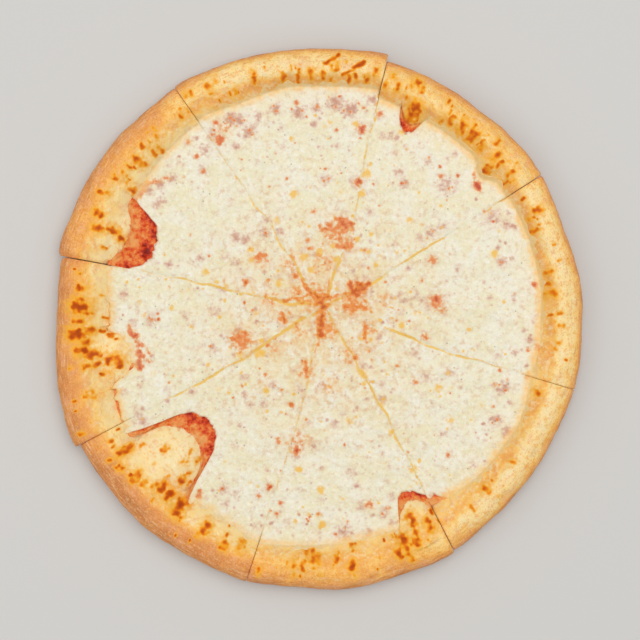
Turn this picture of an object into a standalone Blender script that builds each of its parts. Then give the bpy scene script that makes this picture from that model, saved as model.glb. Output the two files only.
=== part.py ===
"""A round pizza of eight slices, cut through but still lying in its circle.

Every slice is three solids: the bread crust with its puffed rim, the sauce spread on it and
the melted cheese on top. All of them run out to the two cuts of the slice.

Units are metres and +Z is up. The underside lies on z = 0 and the middle of the pizza's own
box is the origin. +Y is the far side of the pizza as seen from above.
"""

import math

import bmesh
import bpy
from mathutils import Vector, noise

MM = 0.001

# Heights of the layers
BASE_THICK = 5.0 * MM
SAUCE_THICK = 1.0 * MM
CHEESE_THICK = 3.2 * MM
LAYER_GAP = 0.3 * MM

# The puffed rim: its crest, the height at which it bulges out most, and how it stands
RIM_HEIGHT = 23.0 * MM
BULGE_HEIGHT = 9.0 * MM
CREST_INSET = 14.0 * MM
SLOPE_RUN = 19.0 * MM
SLOPE_EASE = 1.2
UNDERCUT = 8.0 * MM
BLISTER_ROUNDNESS = 0.7
CUT_PINCH = 2.6 * MM
CUT_PINCH_REACH = 7.0 * MM

# The point where all the cuts cross, a little off the middle of the pizza
HUB = Vector((2.5 * MM, 8.2 * MM))
TIP_RADIUS = 1.3 * MM
GAP_AT_HUB = 0.36 * MM
GAP_AT_RIM = 1.1 * MM
MEAN_RADIUS = 178.0 * MM

# Each cut runs straight between these distances from the hub, with its bearing in degrees at
# each of them. The wheel of the cutter wandered a few millimetres on the way in.
CUT_KNOTS = [30.0 * MM, 60.0 * MM, 95.0 * MM, 195.0 * MM]
CUT_BEARINGS = [
    [27.0, 28.8, 30.3, 31.4],
    [72.5, 70.0, 74.5, 75.8],
    [126.0, 123.0, 123.6, 124.3],
    [171.8, 170.8, 168.5, 169.1],
    [211.6, 213.2, 211.2, 209.4],
    [256.3, 258.0, 256.5, 254.1],
    [300.9, 300.1, 299.4, 298.0],
    [338.8, 340.6, 340.4, 341.9],
]

# Distance in millimetres from the middle of the pizza to the outline (reach) and to the foot
# of the rim where the cheese starts (foot), at five places across each slice.
SLICES = [
    {"name": "slice_1", "reach": [175.4, 175.2, 174.5, 176.2, 176.7],
     "foot": [149.5, 150.0, 150.7, 150.5, 153.4]},
    {"name": "slice_2", "reach": [181.2, 179.4, 180.2, 180.8, 181.4],
     "foot": [159.0, 156.6, 157.2, 154.2, 156.6]},
    {"name": "slice_3", "reach": [180.9, 180.2, 179.9, 179.0, 179.5],
     "foot": [154.0, 151.4, 148.0, 146.0, 144.0]},
    {"name": "slice_4", "reach": [176.2, 174.4, 176.6, 180.3, 183.0],
     "foot": [145.4, 140.6, 138.5, 142.0, 147.4]},
    {"name": "slice_5", "reach": [179.8, 178.9, 179.9, 179.3, 180.0],
     "foot": [147.4, 147.0, 147.0, 146.4, 153.4]},
    {"name": "slice_6", "reach": [179.9, 178.2, 179.4, 177.7, 178.9],
     "foot": [154.0, 151.4, 149.0, 148.4, 147.0]},
    {"name": "slice_7", "reach": [177.6, 174.5, 174.0, 173.4, 175.2],
     "foot": [142.0, 148.0, 148.8, 150.0, 145.6]},
    {"name": "slice_8", "reach": [175.3, 173.7, 174.1, 172.5, 175.2],
     "foot": [146.0, 147.4, 149.4, 150.0, 150.6]},
]

# Swellings of the rim that push in over the cheese. The bearing is seen from the middle of the
# pizza, in degrees. The rest is in millimetres: how far off the middle of the swelling lies, its
# half width and half length, its height over the base, and the width of the ring of bare sauce
# beside it and in front of it.
BLISTERS = [
    {"slice": 4, "bearing": 222.5, "distance": 136.0, "half_width": 23.0, "half_length": 23.0,
     "height": 13.0, "bare_side": 6.0, "bare_front": 12.5},
    {"slice": 5, "bearing": 296.0, "distance": 151.0, "half_width": 13.5, "half_length": 18.0,
     "height": 12.5, "bare_side": 3.0, "bare_front": 5.0},
    {"slice": 2, "bearing": 157.5, "distance": 152.0, "half_width": 22.0, "half_length": 14.5,
     "height": 11.0, "bare_side": 7.0, "bare_front": 18.0},
    {"slice": 3, "bearing": 190.0, "distance": 140.0, "half_width": 17.0, "half_length": 15.0,
     "height": 9.0, "bare_side": 3.0, "bare_front": 6.0},
    {"slice": 0, "bearing": 42.0, "distance": 152.5, "half_width": 9.0, "half_length": 10.5,
     "height": 10.0, "bare_side": 0.5, "bare_front": 3.5},
    {"slice": 0, "bearing": 65.5, "distance": 153.0, "half_width": 9.5, "half_length": 11.0,
     "height": 10.0, "bare_side": 1.5, "bare_front": 4.5},
]

# Other places where the cheese stops short of the rim and sauce shows: bearing from the middle
# and half width in degrees, and the width of the bare band in millimetres.
BARE_BANDS = [
    {"slice": 6, "bearing": 302.5, "half_width": 4.5, "bare": 6.0},
    {"slice": 7, "bearing": 352.8, "half_width": 2.5, "bare": 3.0},
]

# How finely the solids are divided
COLUMNS = 20
COLUMN_CROWDING = 0.35
FIRST_ROW = 12.0 * MM
CHEESE_ROWS = 4
RIM_ROWS = 12

# Size and depth of the soft unevenness of the crust and of the cheese
CRUST_WAVE = 26.0 * MM
CRUST_WAVE_DEPTH = 1.8 * MM
OUTLINE_WAVE_DEPTH = 0.7 * MM
CHEESE_WAVE = 17.0 * MM
CHEESE_WAVE_DEPTH = 0.9 * MM
CHEESE_PRESSED = 1.1 * MM
CHEESE_PRESSED_REACH = 6.0 * MM
CHEESE_EDGE_THIN = 0.9 * MM
CHEESE_EDGE_REACH = 7.0 * MM

COPLANAR_ANGLE = math.radians(0.02)
SMOOTH_ANGLE = math.radians(50.0)

CRUST_FINISH = {"name": "baked bread crust", "color": (0.74, 0.42, 0.16, 1.0), "roughness": 0.75}
SAUCE_FINISH = {"name": "tomato sauce", "color": (0.52, 0.07, 0.02, 1.0), "roughness": 0.35}
CHEESE_FINISH = {"name": "melted cheese", "color": (0.85, 0.77, 0.55, 1.0), "roughness": 0.4}


def clear_scene():
    for item in list(bpy.data.objects):
        bpy.data.objects.remove(item, do_unlink=True)


def make_material(finish):
    material = bpy.data.materials.new(finish["name"])
    material.use_nodes = True
    shader = material.node_tree.nodes["Principled BSDF"]
    shader.inputs["Base Color"].default_value = finish["color"]
    shader.inputs["Roughness"].default_value = finish["roughness"]
    shader.inputs["Metallic"].default_value = 0.0
    return material


def blend_through(values, fraction):
    """Smooth curve through evenly spaced values, read at a fraction from 0 to 1."""
    last = len(values) - 1
    place = min(max(fraction, 0.0), 1.0) * last
    start = min(int(place), last - 1)
    t = place - start
    before = values[max(start - 1, 0)]
    here = values[start]
    there = values[start + 1]
    after = values[min(start + 2, last)]
    lean = (there - before) * t
    turn = (2.0 * before - 5.0 * here + 4.0 * there - after) * t * t
    twist = (3.0 * here - before - 3.0 * there + after) * t * t * t
    return here + 0.5 * (lean + turn + twist)


def polar(distance, bearing):
    return Vector((distance * math.cos(bearing), distance * math.sin(bearing)))


def cut_point(cut, distance):
    """Point of a cut at a distance from the hub, measured from the hub."""
    bearings = [math.radians(bearing) for bearing in CUT_BEARINGS[cut]]
    if distance <= CUT_KNOTS[0]:
        return polar(distance, bearings[0])
    for knot in range(1, len(CUT_KNOTS)):
        if distance <= CUT_KNOTS[knot] or knot == len(CUT_KNOTS) - 1:
            share = (distance - CUT_KNOTS[knot - 1]) / (CUT_KNOTS[knot] - CUT_KNOTS[knot - 1])
            start = polar(CUT_KNOTS[knot - 1], bearings[knot - 1])
            end = polar(CUT_KNOTS[knot], bearings[knot])
            return start.lerp(end, share)


def half_gap(distance):
    return 0.5 * (GAP_AT_HUB + (GAP_AT_RIM - GAP_AT_HUB) * distance / MEAN_RADIUS)


def cut_bearing(cut, distance, side):
    """Bearing of one lip of a cut: side is +1 for the slice after it and -1 for the one before."""
    point = cut_point(cut, distance)
    return math.atan2(point.y, point.x) + side * math.asin(half_gap(distance) / distance)


def slice_point(index, across, distance):
    """Point at a share of the way across a slice, at a distance from the hub."""
    start = cut_bearing(index, distance, 1.0)
    end = cut_bearing((index + 1) % len(SLICES), distance, -1.0)
    while end < start:
        end += 2.0 * math.pi
    return HUB + polar(distance, start + (end - start) * across)


def distance_to(index, across, radius):
    """Distance from the hub at which a line of the slice lies a radius from the middle."""
    distance = radius
    for _ in range(6):
        distance += radius - slice_point(index, across, distance).length
    return distance


def turn_between(point, bearing):
    """Signed angle from a bearing in degrees to a point seen from the middle."""
    turn = math.atan2(point.y, point.x) - math.radians(bearing)
    return math.remainder(turn, 2.0 * math.pi)


def reach_radius(index, across):
    radius = blend_through(SLICES[index]["reach"], across) * MM
    point = slice_point(index, across, radius)
    return radius + OUTLINE_WAVE_DEPTH * noise.noise(point.to_3d() / CRUST_WAVE)


def lobe_radius(point, blister, wider, longer):
    """Radius of the near side of a swelling's oval on the line through a point."""
    centre = blister["distance"] * MM
    half_width = (blister["half_width"] + wider) * MM
    half_length = (blister["half_length"] + longer) * MM
    aside = turn_between(point, blister["bearing"]) * centre / half_width
    if abs(aside) >= 1.0:
        return math.inf
    return centre - half_length * math.sqrt(1.0 - aside * aside)


def foot_radius(index, across):
    """Radius at which the rim rises, drawn in where a swelling pushes over the cheese."""
    radius = blend_through(SLICES[index]["foot"], across) * MM
    point = slice_point(index, across, radius)
    for blister in BLISTERS:
        if blister["slice"] == index:
            radius = min(radius, lobe_radius(point, blister, 0.0, 0.0))
    return radius


def cheese_radius(index, across):
    """Radius at which the cheese ends, short of the rim where sauce shows."""
    radius = foot_radius(index, across) - LAYER_GAP
    point = slice_point(index, across, radius)
    for blister in BLISTERS:
        if blister["slice"] == index:
            ring = lobe_radius(point, blister, blister["bare_side"], blister["bare_front"])
            radius = min(radius, ring)
    for band in BARE_BANDS:
        aside = turn_between(point, band["bearing"]) / math.radians(band["half_width"])
        if band["slice"] == index and abs(aside) < 1.0:
            radius -= band["bare"] * MM * (1.0 - aside * aside)
    return radius


def blister_height(index, point):
    height = 0.0
    for blister in BLISTERS:
        centre = blister["distance"] * MM
        aside = turn_between(point, blister["bearing"]) * centre / (blister["half_width"] * MM)
        along = (point.length - centre) / (blister["half_length"] * MM)
        spread = aside * aside + along * along
        if blister["slice"] == index and spread < 1.0:
            height = max(height, blister["height"] * MM * (1.0 - spread) ** BLISTER_ROUNDNESS)
    return height


def crust_top(index, point, foot, reach, to_cut):
    """Height of the upper side of the crust: flat base, inner slope, crest and outer round."""
    radius = point.length
    if radius <= foot:
        return BASE_THICK
    wave = noise.noise(point.to_3d() / CRUST_WAVE) * CRUST_WAVE_DEPTH
    pinch = CUT_PINCH * math.exp(-to_cut / CUT_PINCH_REACH)
    crest = RIM_HEIGHT + wave - pinch
    crest_radius = reach - CREST_INSET
    if radius >= crest_radius:
        outward = min((radius - crest_radius) / CREST_INSET, 1.0)
        return BULGE_HEIGHT + (crest - BULGE_HEIGHT) * math.sqrt(1.0 - outward * outward)
    plain_foot = max(foot, crest_radius - SLOPE_RUN)
    inward = min((crest_radius - radius) / (crest_radius - plain_foot), 1.0)
    slope = (crest - BASE_THICK) * (1.0 - inward * inward) ** SLOPE_EASE
    return BASE_THICK + math.hypot(slope, blister_height(index, point))


def crust_underside(point, reach):
    inset = reach - point.length
    if inset >= UNDERCUT:
        return 0.0
    outward = 1.0 - max(inset, 0.0) / UNDERCUT
    return BULGE_HEIGHT * (1.0 - math.sqrt(1.0 - outward * outward))


def cheese_top(point, level, edge, to_cut):
    """Height of the cheese, thinner at its edge and pressed down along the cuts."""
    wave = noise.noise(point.to_3d() / CHEESE_WAVE) * CHEESE_WAVE_DEPTH
    pressed = CHEESE_PRESSED * math.exp(-to_cut / CHEESE_PRESSED_REACH)
    thinned = CHEESE_EDGE_THIN * math.exp(-(edge - point.length) / CHEESE_EDGE_REACH)
    return level + CHEESE_THICK + wave - pressed - thinned


def column_shares():
    """Shares across a slice, closer together towards both cuts."""
    shares = []
    for column in range(COLUMNS + 1):
        even = column / COLUMNS
        crowded = 0.5 - 0.5 * math.cos(math.pi * even)
        shares.append(even + (crowded - even) * COLUMN_CROWDING)
    return shares


def disc_distances(edge_distance):
    """Distances from the hub of the rows inside the last knot of the cuts."""
    return [FIRST_ROW] + CUT_KNOTS[:-1] + [
        CUT_KNOTS[-2] + (edge_distance - CUT_KNOTS[-2]) * row / CHEESE_ROWS
        for row in range(1, CHEESE_ROWS + 1)]


def to_nearest_cut(index, point, across, distance):
    left = (point - slice_point(index, 0.0, distance)).length
    right = (point - slice_point(index, 1.0, distance)).length
    return min(left, right)


def tip_points(index, height):
    return [slice_point(index, share, TIP_RADIUS).to_3d() + Vector((0.0, 0.0, height))
            for share in (0.0, 1.0)]


def rows_of(columns):
    """Turn a list of columns of points into a list of rows."""
    return [list(row) for row in zip(*columns)]


def crust_rows(index):
    """Rows of points of the upper side and the underside of one slice's crust."""
    upper = []
    lower = []
    for across in column_shares():
        foot = foot_radius(index, across)
        reach = reach_radius(index, across)
        foot_distance = distance_to(index, across, foot)
        reach_distance = distance_to(index, across, reach)
        distances = disc_distances(foot_distance)
        for row in range(1, RIM_ROWS + 1):
            share = math.sin(0.5 * math.pi * row / RIM_ROWS)
            distances.append(foot_distance + (reach_distance - foot_distance) * share)
        upper_column = []
        lower_column = []
        for row, distance in enumerate(distances):
            point = slice_point(index, across, distance)
            to_cut = to_nearest_cut(index, point, across, distance)
            top = crust_top(index, point, foot, reach, to_cut)
            if row < len(distances) - RIM_ROWS:
                top = BASE_THICK
            if row == len(distances) - 1:
                top = BULGE_HEIGHT
            upper_column.append(Vector((point.x, point.y, top)))
            lower_column.append(Vector((point.x, point.y, crust_underside(point, reach))))
        upper.append(upper_column)
        lower.append(lower_column)
    return rows_of(upper), rows_of(lower)


def layer_rows(index, bottom, top_height, edge_radius):
    """Rows of points of a layer that lies on the base between the two cuts."""
    upper = []
    lower = []
    for across in column_shares():
        edge = edge_radius(index, across)
        upper_column = []
        lower_column = []
        for distance in disc_distances(distance_to(index, across, edge)):
            point = slice_point(index, across, distance)
            to_cut = to_nearest_cut(index, point, across, distance)
            upper_column.append(Vector((point.x, point.y, top_height(point, edge, to_cut))))
            lower_column.append(Vector((point.x, point.y, bottom)))
        upper.append(upper_column)
        lower.append(lower_column)
    return rows_of(upper), rows_of(lower)


def add_sheet(mesh, tip, rows, upward):
    """Add one side of a slice as faces and return its points, row by row from the tip."""
    end = [mesh.verts.new(point) for point in tip]
    added = [[mesh.verts.new(point) for point in row] for row in rows]
    faces = [[end[0]] + added[0] + [end[1]]]
    for inner, outer in zip(added, added[1:]):
        for column in range(len(inner) - 1):
            faces.append([inner[column], outer[column], outer[column + 1], inner[column + 1]])
    for face in faces:
        mesh.faces.new(face if upward else face[::-1])
    return [end] + added


def add_walls(mesh, upper, lower):
    """Close a slice along both cuts, at its tip and round its outside."""
    for inner in range(len(upper) - 1):
        outer = inner + 1
        mesh.faces.new([upper[inner][0], lower[inner][0], lower[outer][0], upper[outer][0]])
        mesh.faces.new([upper[inner][-1], upper[outer][-1], lower[outer][-1], lower[inner][-1]])
    mesh.faces.new([upper[0][0], upper[0][-1], lower[0][-1], lower[0][0]])
    for column in range(len(upper[-1]) - 1):
        mesh.faces.new([upper[-1][column], lower[-1][column],
                        lower[-1][column + 1], upper[-1][column + 1]])


def add_slice_solid(name, upper_rows, lower_rows, upper_tip, lower_tip, material):
    mesh = bmesh.new()
    upper = add_sheet(mesh, upper_tip, upper_rows, True)
    lower = add_sheet(mesh, lower_tip, lower_rows, False)
    add_walls(mesh, upper, lower)
    bmesh.ops.remove_doubles(mesh, verts=mesh.verts, dist=0.01 * MM)
    bmesh.ops.dissolve_limit(mesh, angle_limit=COPLANAR_ANGLE, verts=mesh.verts, edges=mesh.edges)
    bmesh.ops.recalc_face_normals(mesh, faces=mesh.faces)
    data = bpy.data.meshes.new(name)
    mesh.to_mesh(data)
    mesh.free()
    data.shade_smooth()
    data.set_sharp_from_angle(angle=SMOOTH_ANGLE)
    data.materials.append(material)
    solid = bpy.data.objects.new(name, data)
    bpy.context.scene.collection.objects.link(solid)
    return solid


def add_crust(index, material):
    upper, lower = crust_rows(index)
    return add_slice_solid(SLICES[index]["name"] + "_crust", upper, lower,
                           tip_points(index, BASE_THICK), tip_points(index, 0.0), material)


def add_sauce(index, material):
    bottom = BASE_THICK + LAYER_GAP
    top = bottom + SAUCE_THICK

    def sauce_edge(slice_index, across):
        return foot_radius(slice_index, across) - LAYER_GAP

    upper, lower = layer_rows(index, bottom, lambda point, edge, to_cut: top, sauce_edge)
    return add_slice_solid(SLICES[index]["name"] + "_sauce", upper, lower,
                           tip_points(index, top), tip_points(index, bottom), material)


def add_cheese(index, material):
    bottom = BASE_THICK + SAUCE_THICK + 2.0 * LAYER_GAP

    def height(point, edge, to_cut):
        return cheese_top(point, bottom, edge, to_cut)

    upper, lower = layer_rows(index, bottom, height, cheese_radius)
    tip_height = bottom + CHEESE_THICK - CHEESE_PRESSED
    return add_slice_solid(SLICES[index]["name"] + "_cheese", upper, lower,
                           tip_points(index, tip_height), tip_points(index, bottom), material)


def centre_on_origin(solids):
    """Shift all the solids so that the middle of their common box is over the origin."""
    xs = [vertex.co.x for solid in solids for vertex in solid.data.vertices]
    ys = [vertex.co.y for solid in solids for vertex in solid.data.vertices]
    shift = Vector((-0.5 * (min(xs) + max(xs)), -0.5 * (min(ys) + max(ys)), 0.0))
    for solid in solids:
        for vertex in solid.data.vertices:
            vertex.co += shift


def build():
    clear_scene()
    crust_material = make_material(CRUST_FINISH)
    sauce_material = make_material(SAUCE_FINISH)
    cheese_material = make_material(CHEESE_FINISH)
    solids = []
    for index in range(len(SLICES)):
        solids.append(add_crust(index, crust_material))
        solids.append(add_sauce(index, sauce_material))
        solids.append(add_cheese(index, cheese_material))
    centre_on_origin(solids)


build()
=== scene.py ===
"""Looks of a round cheese pizza, cut in eight and still lying in its circle, seen from above."""
import math

import bpy
import numpy as np
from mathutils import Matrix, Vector, noise


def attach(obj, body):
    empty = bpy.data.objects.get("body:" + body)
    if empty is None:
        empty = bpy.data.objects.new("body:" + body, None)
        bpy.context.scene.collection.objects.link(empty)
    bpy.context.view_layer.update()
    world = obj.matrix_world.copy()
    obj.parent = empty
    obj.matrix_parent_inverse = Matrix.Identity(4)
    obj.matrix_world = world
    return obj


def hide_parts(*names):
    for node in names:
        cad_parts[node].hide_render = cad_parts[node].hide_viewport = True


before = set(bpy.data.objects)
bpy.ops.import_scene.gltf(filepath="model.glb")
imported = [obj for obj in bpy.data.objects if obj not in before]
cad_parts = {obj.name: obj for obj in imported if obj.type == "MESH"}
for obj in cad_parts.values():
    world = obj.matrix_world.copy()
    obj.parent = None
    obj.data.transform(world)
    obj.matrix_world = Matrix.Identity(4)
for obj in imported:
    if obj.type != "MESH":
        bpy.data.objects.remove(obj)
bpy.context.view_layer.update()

MM = 0.001


# The bread crust: a stretched yeast dough, thin under the topping and rolled up into a rim that
# puffed in the oven. Each slice is one piece of it. The outside is dry, tan and floury, the top
# is golden, and the inner slope is cream where oil and a film of cheese cooked into it.
BASE_THICK = 5.0 * MM
SAUCE_THICK = 1.0 * MM
CHEESE_THICK = 3.2 * MM
LAYER_GAP = 0.3 * MM
RIM_HEIGHT = 23.0 * MM
BULGE_HEIGHT = 9.0 * MM
CREST_INSET = 14.0 * MM
SLOPE_RUN = 19.0 * MM
SLOPE_EASE = 1.2
UNDERCUT = 8.0 * MM
BLISTER_ROUNDNESS = 0.85
CUT_PINCH = 2.6 * MM
CUT_PINCH_REACH = 7.0 * MM
CRUST_WAVE = 26.0 * MM
CRUST_WAVE_DEPTH = 1.8 * MM
OUTLINE_WAVE_DEPTH = 0.7 * MM

# The cuts all cross at the hub. Each runs straight between the knots, which are distances from
# the hub, and its bearing in degrees is given at each of them.
HUB = (2.5 * MM, 8.2 * MM)
TIP_RADIUS = 1.3 * MM
GAP_AT_HUB = 0.1 * MM
GAP_AT_RIM = 1.1 * MM
# Share of the solids' gap at the rim that is left where the bread of each cut sprang back
CUT_SPRUNG = [0.45, 0.40, 0.26, 0.75, 0.22, 0.24, 0.38, 0.24]
MEAN_RADIUS = 178.0 * MM
CUT_KNOTS = [30.0 * MM, 60.0 * MM, 95.0 * MM, 195.0 * MM]
CUT_BEARINGS = [
    [27.0, 28.8, 30.3, 31.4],
    [72.5, 70.0, 74.5, 75.8],
    [126.0, 123.0, 123.6, 124.3],
    [171.8, 170.8, 168.5, 169.1],
    [211.6, 213.2, 211.2, 209.4],
    [256.3, 258.0, 256.5, 254.1],
    [300.9, 300.1, 299.4, 298.0],
    [338.8, 340.6, 340.4, 341.9],
]

# Distance in millimetres from the middle to the outline and to the foot of the rim's slope, at
# five places across each slice.
REACH = [
    [175.4, 175.2, 174.5, 176.2, 176.7],
    [181.2, 179.4, 180.2, 180.8, 181.4],
    [180.9, 180.2, 179.9, 179.0, 179.5],
    [176.2, 174.4, 176.6, 180.3, 183.0],
    [179.8, 178.9, 179.9, 179.3, 180.0],
    [179.9, 178.2, 179.4, 177.7, 178.9],
    [177.6, 174.5, 174.0, 173.4, 175.2],
    [175.3, 173.7, 174.1, 172.5, 175.2],
]
FOOT = [
    [149.5, 150.0, 150.7, 150.5, 153.4],
    [159.0, 156.6, 157.2, 154.2, 156.6],
    [154.0, 151.4, 148.0, 146.0, 144.0],
    [145.4, 140.6, 138.5, 142.0, 147.4],
    [147.4, 147.0, 147.0, 146.4, 153.4],
    [154.0, 151.4, 149.0, 148.4, 147.0],
    [142.0, 148.0, 148.8, 150.0, 145.6],
    [146.0, 147.4, 149.4, 150.0, 150.6],
]
# Swellings of the rim: slice, bearing, distance of the middle, half width, half length, height,
# and the ring of bare sauce beside and in front, in degrees and millimetres.
BLISTERS = [
    (4, 222.5, 136.0, 23.0, 23.0, 13.0, 6.0, 12.5),
    (5, 296.0, 151.0, 13.5, 18.0, 12.5, 3.0, 5.0),
    (2, 157.5, 152.0, 22.0, 14.5, 11.0, 7.0, 18.0),
    (3, 190.0, 140.0, 17.0, 15.0, 9.0, 3.0, 6.0),
    (0, 42.0, 152.5, 9.0, 10.5, 10.0, 0.5, 3.5),
    (0, 65.5, 153.0, 9.5, 11.0, 10.0, 1.5, 4.5),
]
# Other places where the cheese stops short: slice, bearing, half width, depth
BARE_BANDS = [(6, 302.5, 4.5, 6.0), (7, 352.8, 2.5, 3.0)]
SLICES = len(REACH)
# Bearing near the middle of the first slice, in whole degrees
FIRST_BEARING = 50
# Where cheese lies on the slope, the slope starts this much earlier and fills the corner
FOOT_LEAD = 3.2 * MM
BARE_LEAD = 1.0 * MM
# Share of a slice's width over which the foot is evened out beside a swelling
SMOOTH_SHARE = 0.028


def blend_through(values, share):
    """Smooth curve through evenly spaced values, read at shares from 0 to 1."""
    values = np.asarray(values, dtype=float)
    last = len(values) - 1
    place = np.clip(share, 0.0, 1.0) * last
    start = np.minimum(place.astype(int), last - 1)
    t = place - start
    before = values[np.maximum(start - 1, 0)]
    here = values[start]
    there = values[start + 1]
    after = values[np.minimum(start + 2, last)]
    lean = (there - before) * t
    turn = (2.0 * before - 5.0 * here + 4.0 * there - after) * t * t
    twist = (3.0 * here - before - 3.0 * there + after) * t * t * t
    return here + 0.5 * (lean + turn + twist)


def ease(low, high, value):
    t = np.clip((value - low) / (high - low), 0.0, 1.0)
    return t * t * (3.0 - 2.0 * t)


def ripple(x, y, size, seed):
    """Soft noise between about -1 and 1 with humps of a given size."""
    angles = np.random.default_rng(seed).random((256, 256)) * 2.0 * math.pi
    u = x / size + 900.37
    v = y / size + 900.71
    column = np.floor(u).astype(int)
    row = np.floor(v).astype(int)
    s = u - column
    t = v - row

    def corner(right, up):
        angle = angles[(column + right) & 255, (row + up) & 255]
        return np.cos(angle) * (s - right) + np.sin(angle) * (t - up)

    soft_s = s * s * s * (s * (s * 6.0 - 15.0) + 10.0)
    soft_t = t * t * t * (t * (t * 6.0 - 15.0) + 10.0)
    low = corner(0, 0) + (corner(1, 0) - corner(0, 0)) * soft_s
    high = corner(0, 1) + (corner(1, 1) - corner(0, 1)) * soft_s
    return 1.6 * (low + (high - low) * soft_t)


def ripples(x, y, parts):
    """Sum of soft noises, each given by its size in millimetres, its seed and its height."""
    return sum(ripple(x, y, size * MM, seed) * height for size, seed, height in parts)


def slow_wave(x, y, size):
    """The broad unevenness of the dough and the cheese, the same as in the solids."""
    return np.array([noise.noise(Vector((px, py, 0.0)))
                     for px, py in zip((x / size).tolist(), (y / size).tolist())])


def cut_gap(cut, distance):
    """Width of a cut through the crust at distances from the hub, less where it sprang back."""
    widest = GAP_AT_RIM * CUT_SPRUNG[cut]
    return GAP_AT_HUB + (widest - GAP_AT_HUB) * distance / MEAN_RADIUS


def cut_lip(cut, distance, side, gap_of):
    """Bearing of one lip of a cut, seen from the hub."""
    bearings = np.radians(CUT_BEARINGS[cut])
    spot = distance * np.exp(1j * bearings[0])
    for knot in range(1, len(CUT_KNOTS)):
        inner = CUT_KNOTS[knot - 1]
        outer = CUT_KNOTS[knot]
        start = inner * np.exp(1j * bearings[knot - 1])
        end = outer * np.exp(1j * bearings[knot])
        share = (distance - inner) / (outer - inner)
        spot = np.where(distance > inner, start + (end - start) * share, spot)
    half = 0.5 * gap_of(cut, distance) / distance
    return np.angle(spot) + side * np.arcsin(np.minimum(half, 1.0))


def slice_xy(index, across, distance, gap_of=cut_gap):
    """Points at shares of the way across a slice and at distances from the hub."""
    start = cut_lip(index, distance, 1.0, gap_of)
    end = cut_lip((index + 1) % SLICES, distance, -1.0, gap_of)
    bearing = start + np.mod(end - start, 2.0 * math.pi) * across
    return HUB[0] + distance * np.cos(bearing), HUB[1] + distance * np.sin(bearing)


def nearest_cut(index, across):
    """Number of the cut on whose side of the slice points lie."""
    return np.where(across < 0.5, index, (index + 1) % SLICES)


def distance_to(index, across, radius):
    """Distances from the hub at which lines of the slice lie at radii from the middle."""
    distance = radius + 0.0
    for _ in range(6):
        x, y = slice_xy(index, across, distance)
        distance = distance + radius - np.hypot(x, y)
    return distance


def turn_from(x, y, bearing):
    turn = np.arctan2(y, x) - math.radians(bearing)
    return np.mod(turn + math.pi, 2.0 * math.pi) - math.pi


def reach_radius(index, across):
    radius = blend_through(REACH[index], across) * MM
    x, y = slice_xy(index, across, radius)
    return radius + OUTLINE_WAVE_DEPTH * slow_wave(x, y, CRUST_WAVE)


def lobe_radius(x, y, swelling, wider, longer):
    """Radius of the near side of a swelling's oval on the lines through points."""
    _, bearing, distance, half_width, half_length = swelling[:5]
    aside = turn_from(x, y, bearing) * distance / (half_width + wider)
    length = (half_length + longer) * MM * np.sqrt(np.clip(1.0 - aside * aside, 0.0, 1.0))
    return np.where(np.abs(aside) < 1.0, distance * MM - length, np.inf)


def foot_radius(index, across):
    """Radius at which the rim rises, drawn in where a swelling pushes over the cheese."""
    radius = blend_through(FOOT[index], across) * MM
    x, y = slice_xy(index, across, radius)
    for swelling in BLISTERS:
        if swelling[0] == index:
            radius = np.minimum(radius, lobe_radius(x, y, swelling, 0.0, 0.0))
    return radius


def cheese_radius(index, across):
    """Radius at which the cheese ends, short of the rim where sauce shows."""
    radius = foot_radius(index, across) - LAYER_GAP
    x, y = slice_xy(index, across, radius)
    for swelling in BLISTERS:
        if swelling[0] == index:
            radius = np.minimum(radius, lobe_radius(x, y, swelling, swelling[6], swelling[7]))
    for on, bearing, half_width, bare in BARE_BANDS:
        aside = turn_from(x, y, bearing) / math.radians(half_width)
        if on == index:
            radius = radius - bare * MM * np.clip(1.0 - aside * aside, 0.0, 1.0)
    return radius


def smoothed(radius_of, index, across):
    """A radius evened out over a few millimetres along the rim."""
    steps = np.linspace(-1.0, 1.0, 9)
    weights = np.exp(-2.0 * steps * steps)
    total = sum(weight * radius_of(index, np.clip(across + step * SMOOTH_SHARE, 0.0, 1.0))
                for step, weight in zip(steps, weights))
    return total / weights.sum()


def foot_line(index, across):
    return smoothed(foot_radius, index, across)


def bare_width(index, across):
    """Width of the sauce that the solids leave bare between the cheese and the rim."""
    return foot_line(index, across) - smoothed(cheese_radius, index, across)


# Where each bare ring still shows: slice, bearings in degrees from and to, share of its width
RINGS = [
    (4, 210.6, 233.8, 1.0), (5, 291.5, 304.0, 0.85),
    (2, 146.0, 168.0, 1.0), (3, 192.2, 195.0, 0.30), (0, 62.6, 69.4, 0.95),
    (6, 297.0, 306.5, 0.45), (7, 350.0, 355.0, 0.6),
]


def shown_edge(index, across):
    """Radius at which the cheese ends, where it ran back over part of a bare ring."""
    plain = foot_radius(index, across) - LAYER_GAP
    edge = cheese_radius(index, across)
    bearing = np.degrees(np.mod(np.arctan2(*slice_xy(index, across, plain)[::-1]), 2.0 * math.pi))
    shown = np.zeros_like(edge)
    for on, start, end, share in RINGS:
        if on == index:
            soft = 0.2 * (end - start)
            inside = ease(start - 0.6, start + soft, bearing) * ease(end + 0.6, end - soft, bearing)
            shown = np.maximum(shown, share * inside)
    return plain + (edge - plain) * shown


def shown_line(index, across):
    return smoothed(shown_edge, index, across)


def foot_lead(index, across):
    """How much earlier the slope starts, less where sauce lies bare in front of it."""
    bare = ease(1.0 * MM, 3.5 * MM, bare_width(index, across))
    return FOOT_LEAD + (BARE_LEAD - FOOT_LEAD) * bare


def by_column(measure, index, across, columns):
    """A measure that changes only across the slice, worked out once for each column."""
    shares = np.linspace(0.0, 1.0, columns + 1)
    return measure(index, shares)[np.rint(across * columns).astype(int)]


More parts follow.
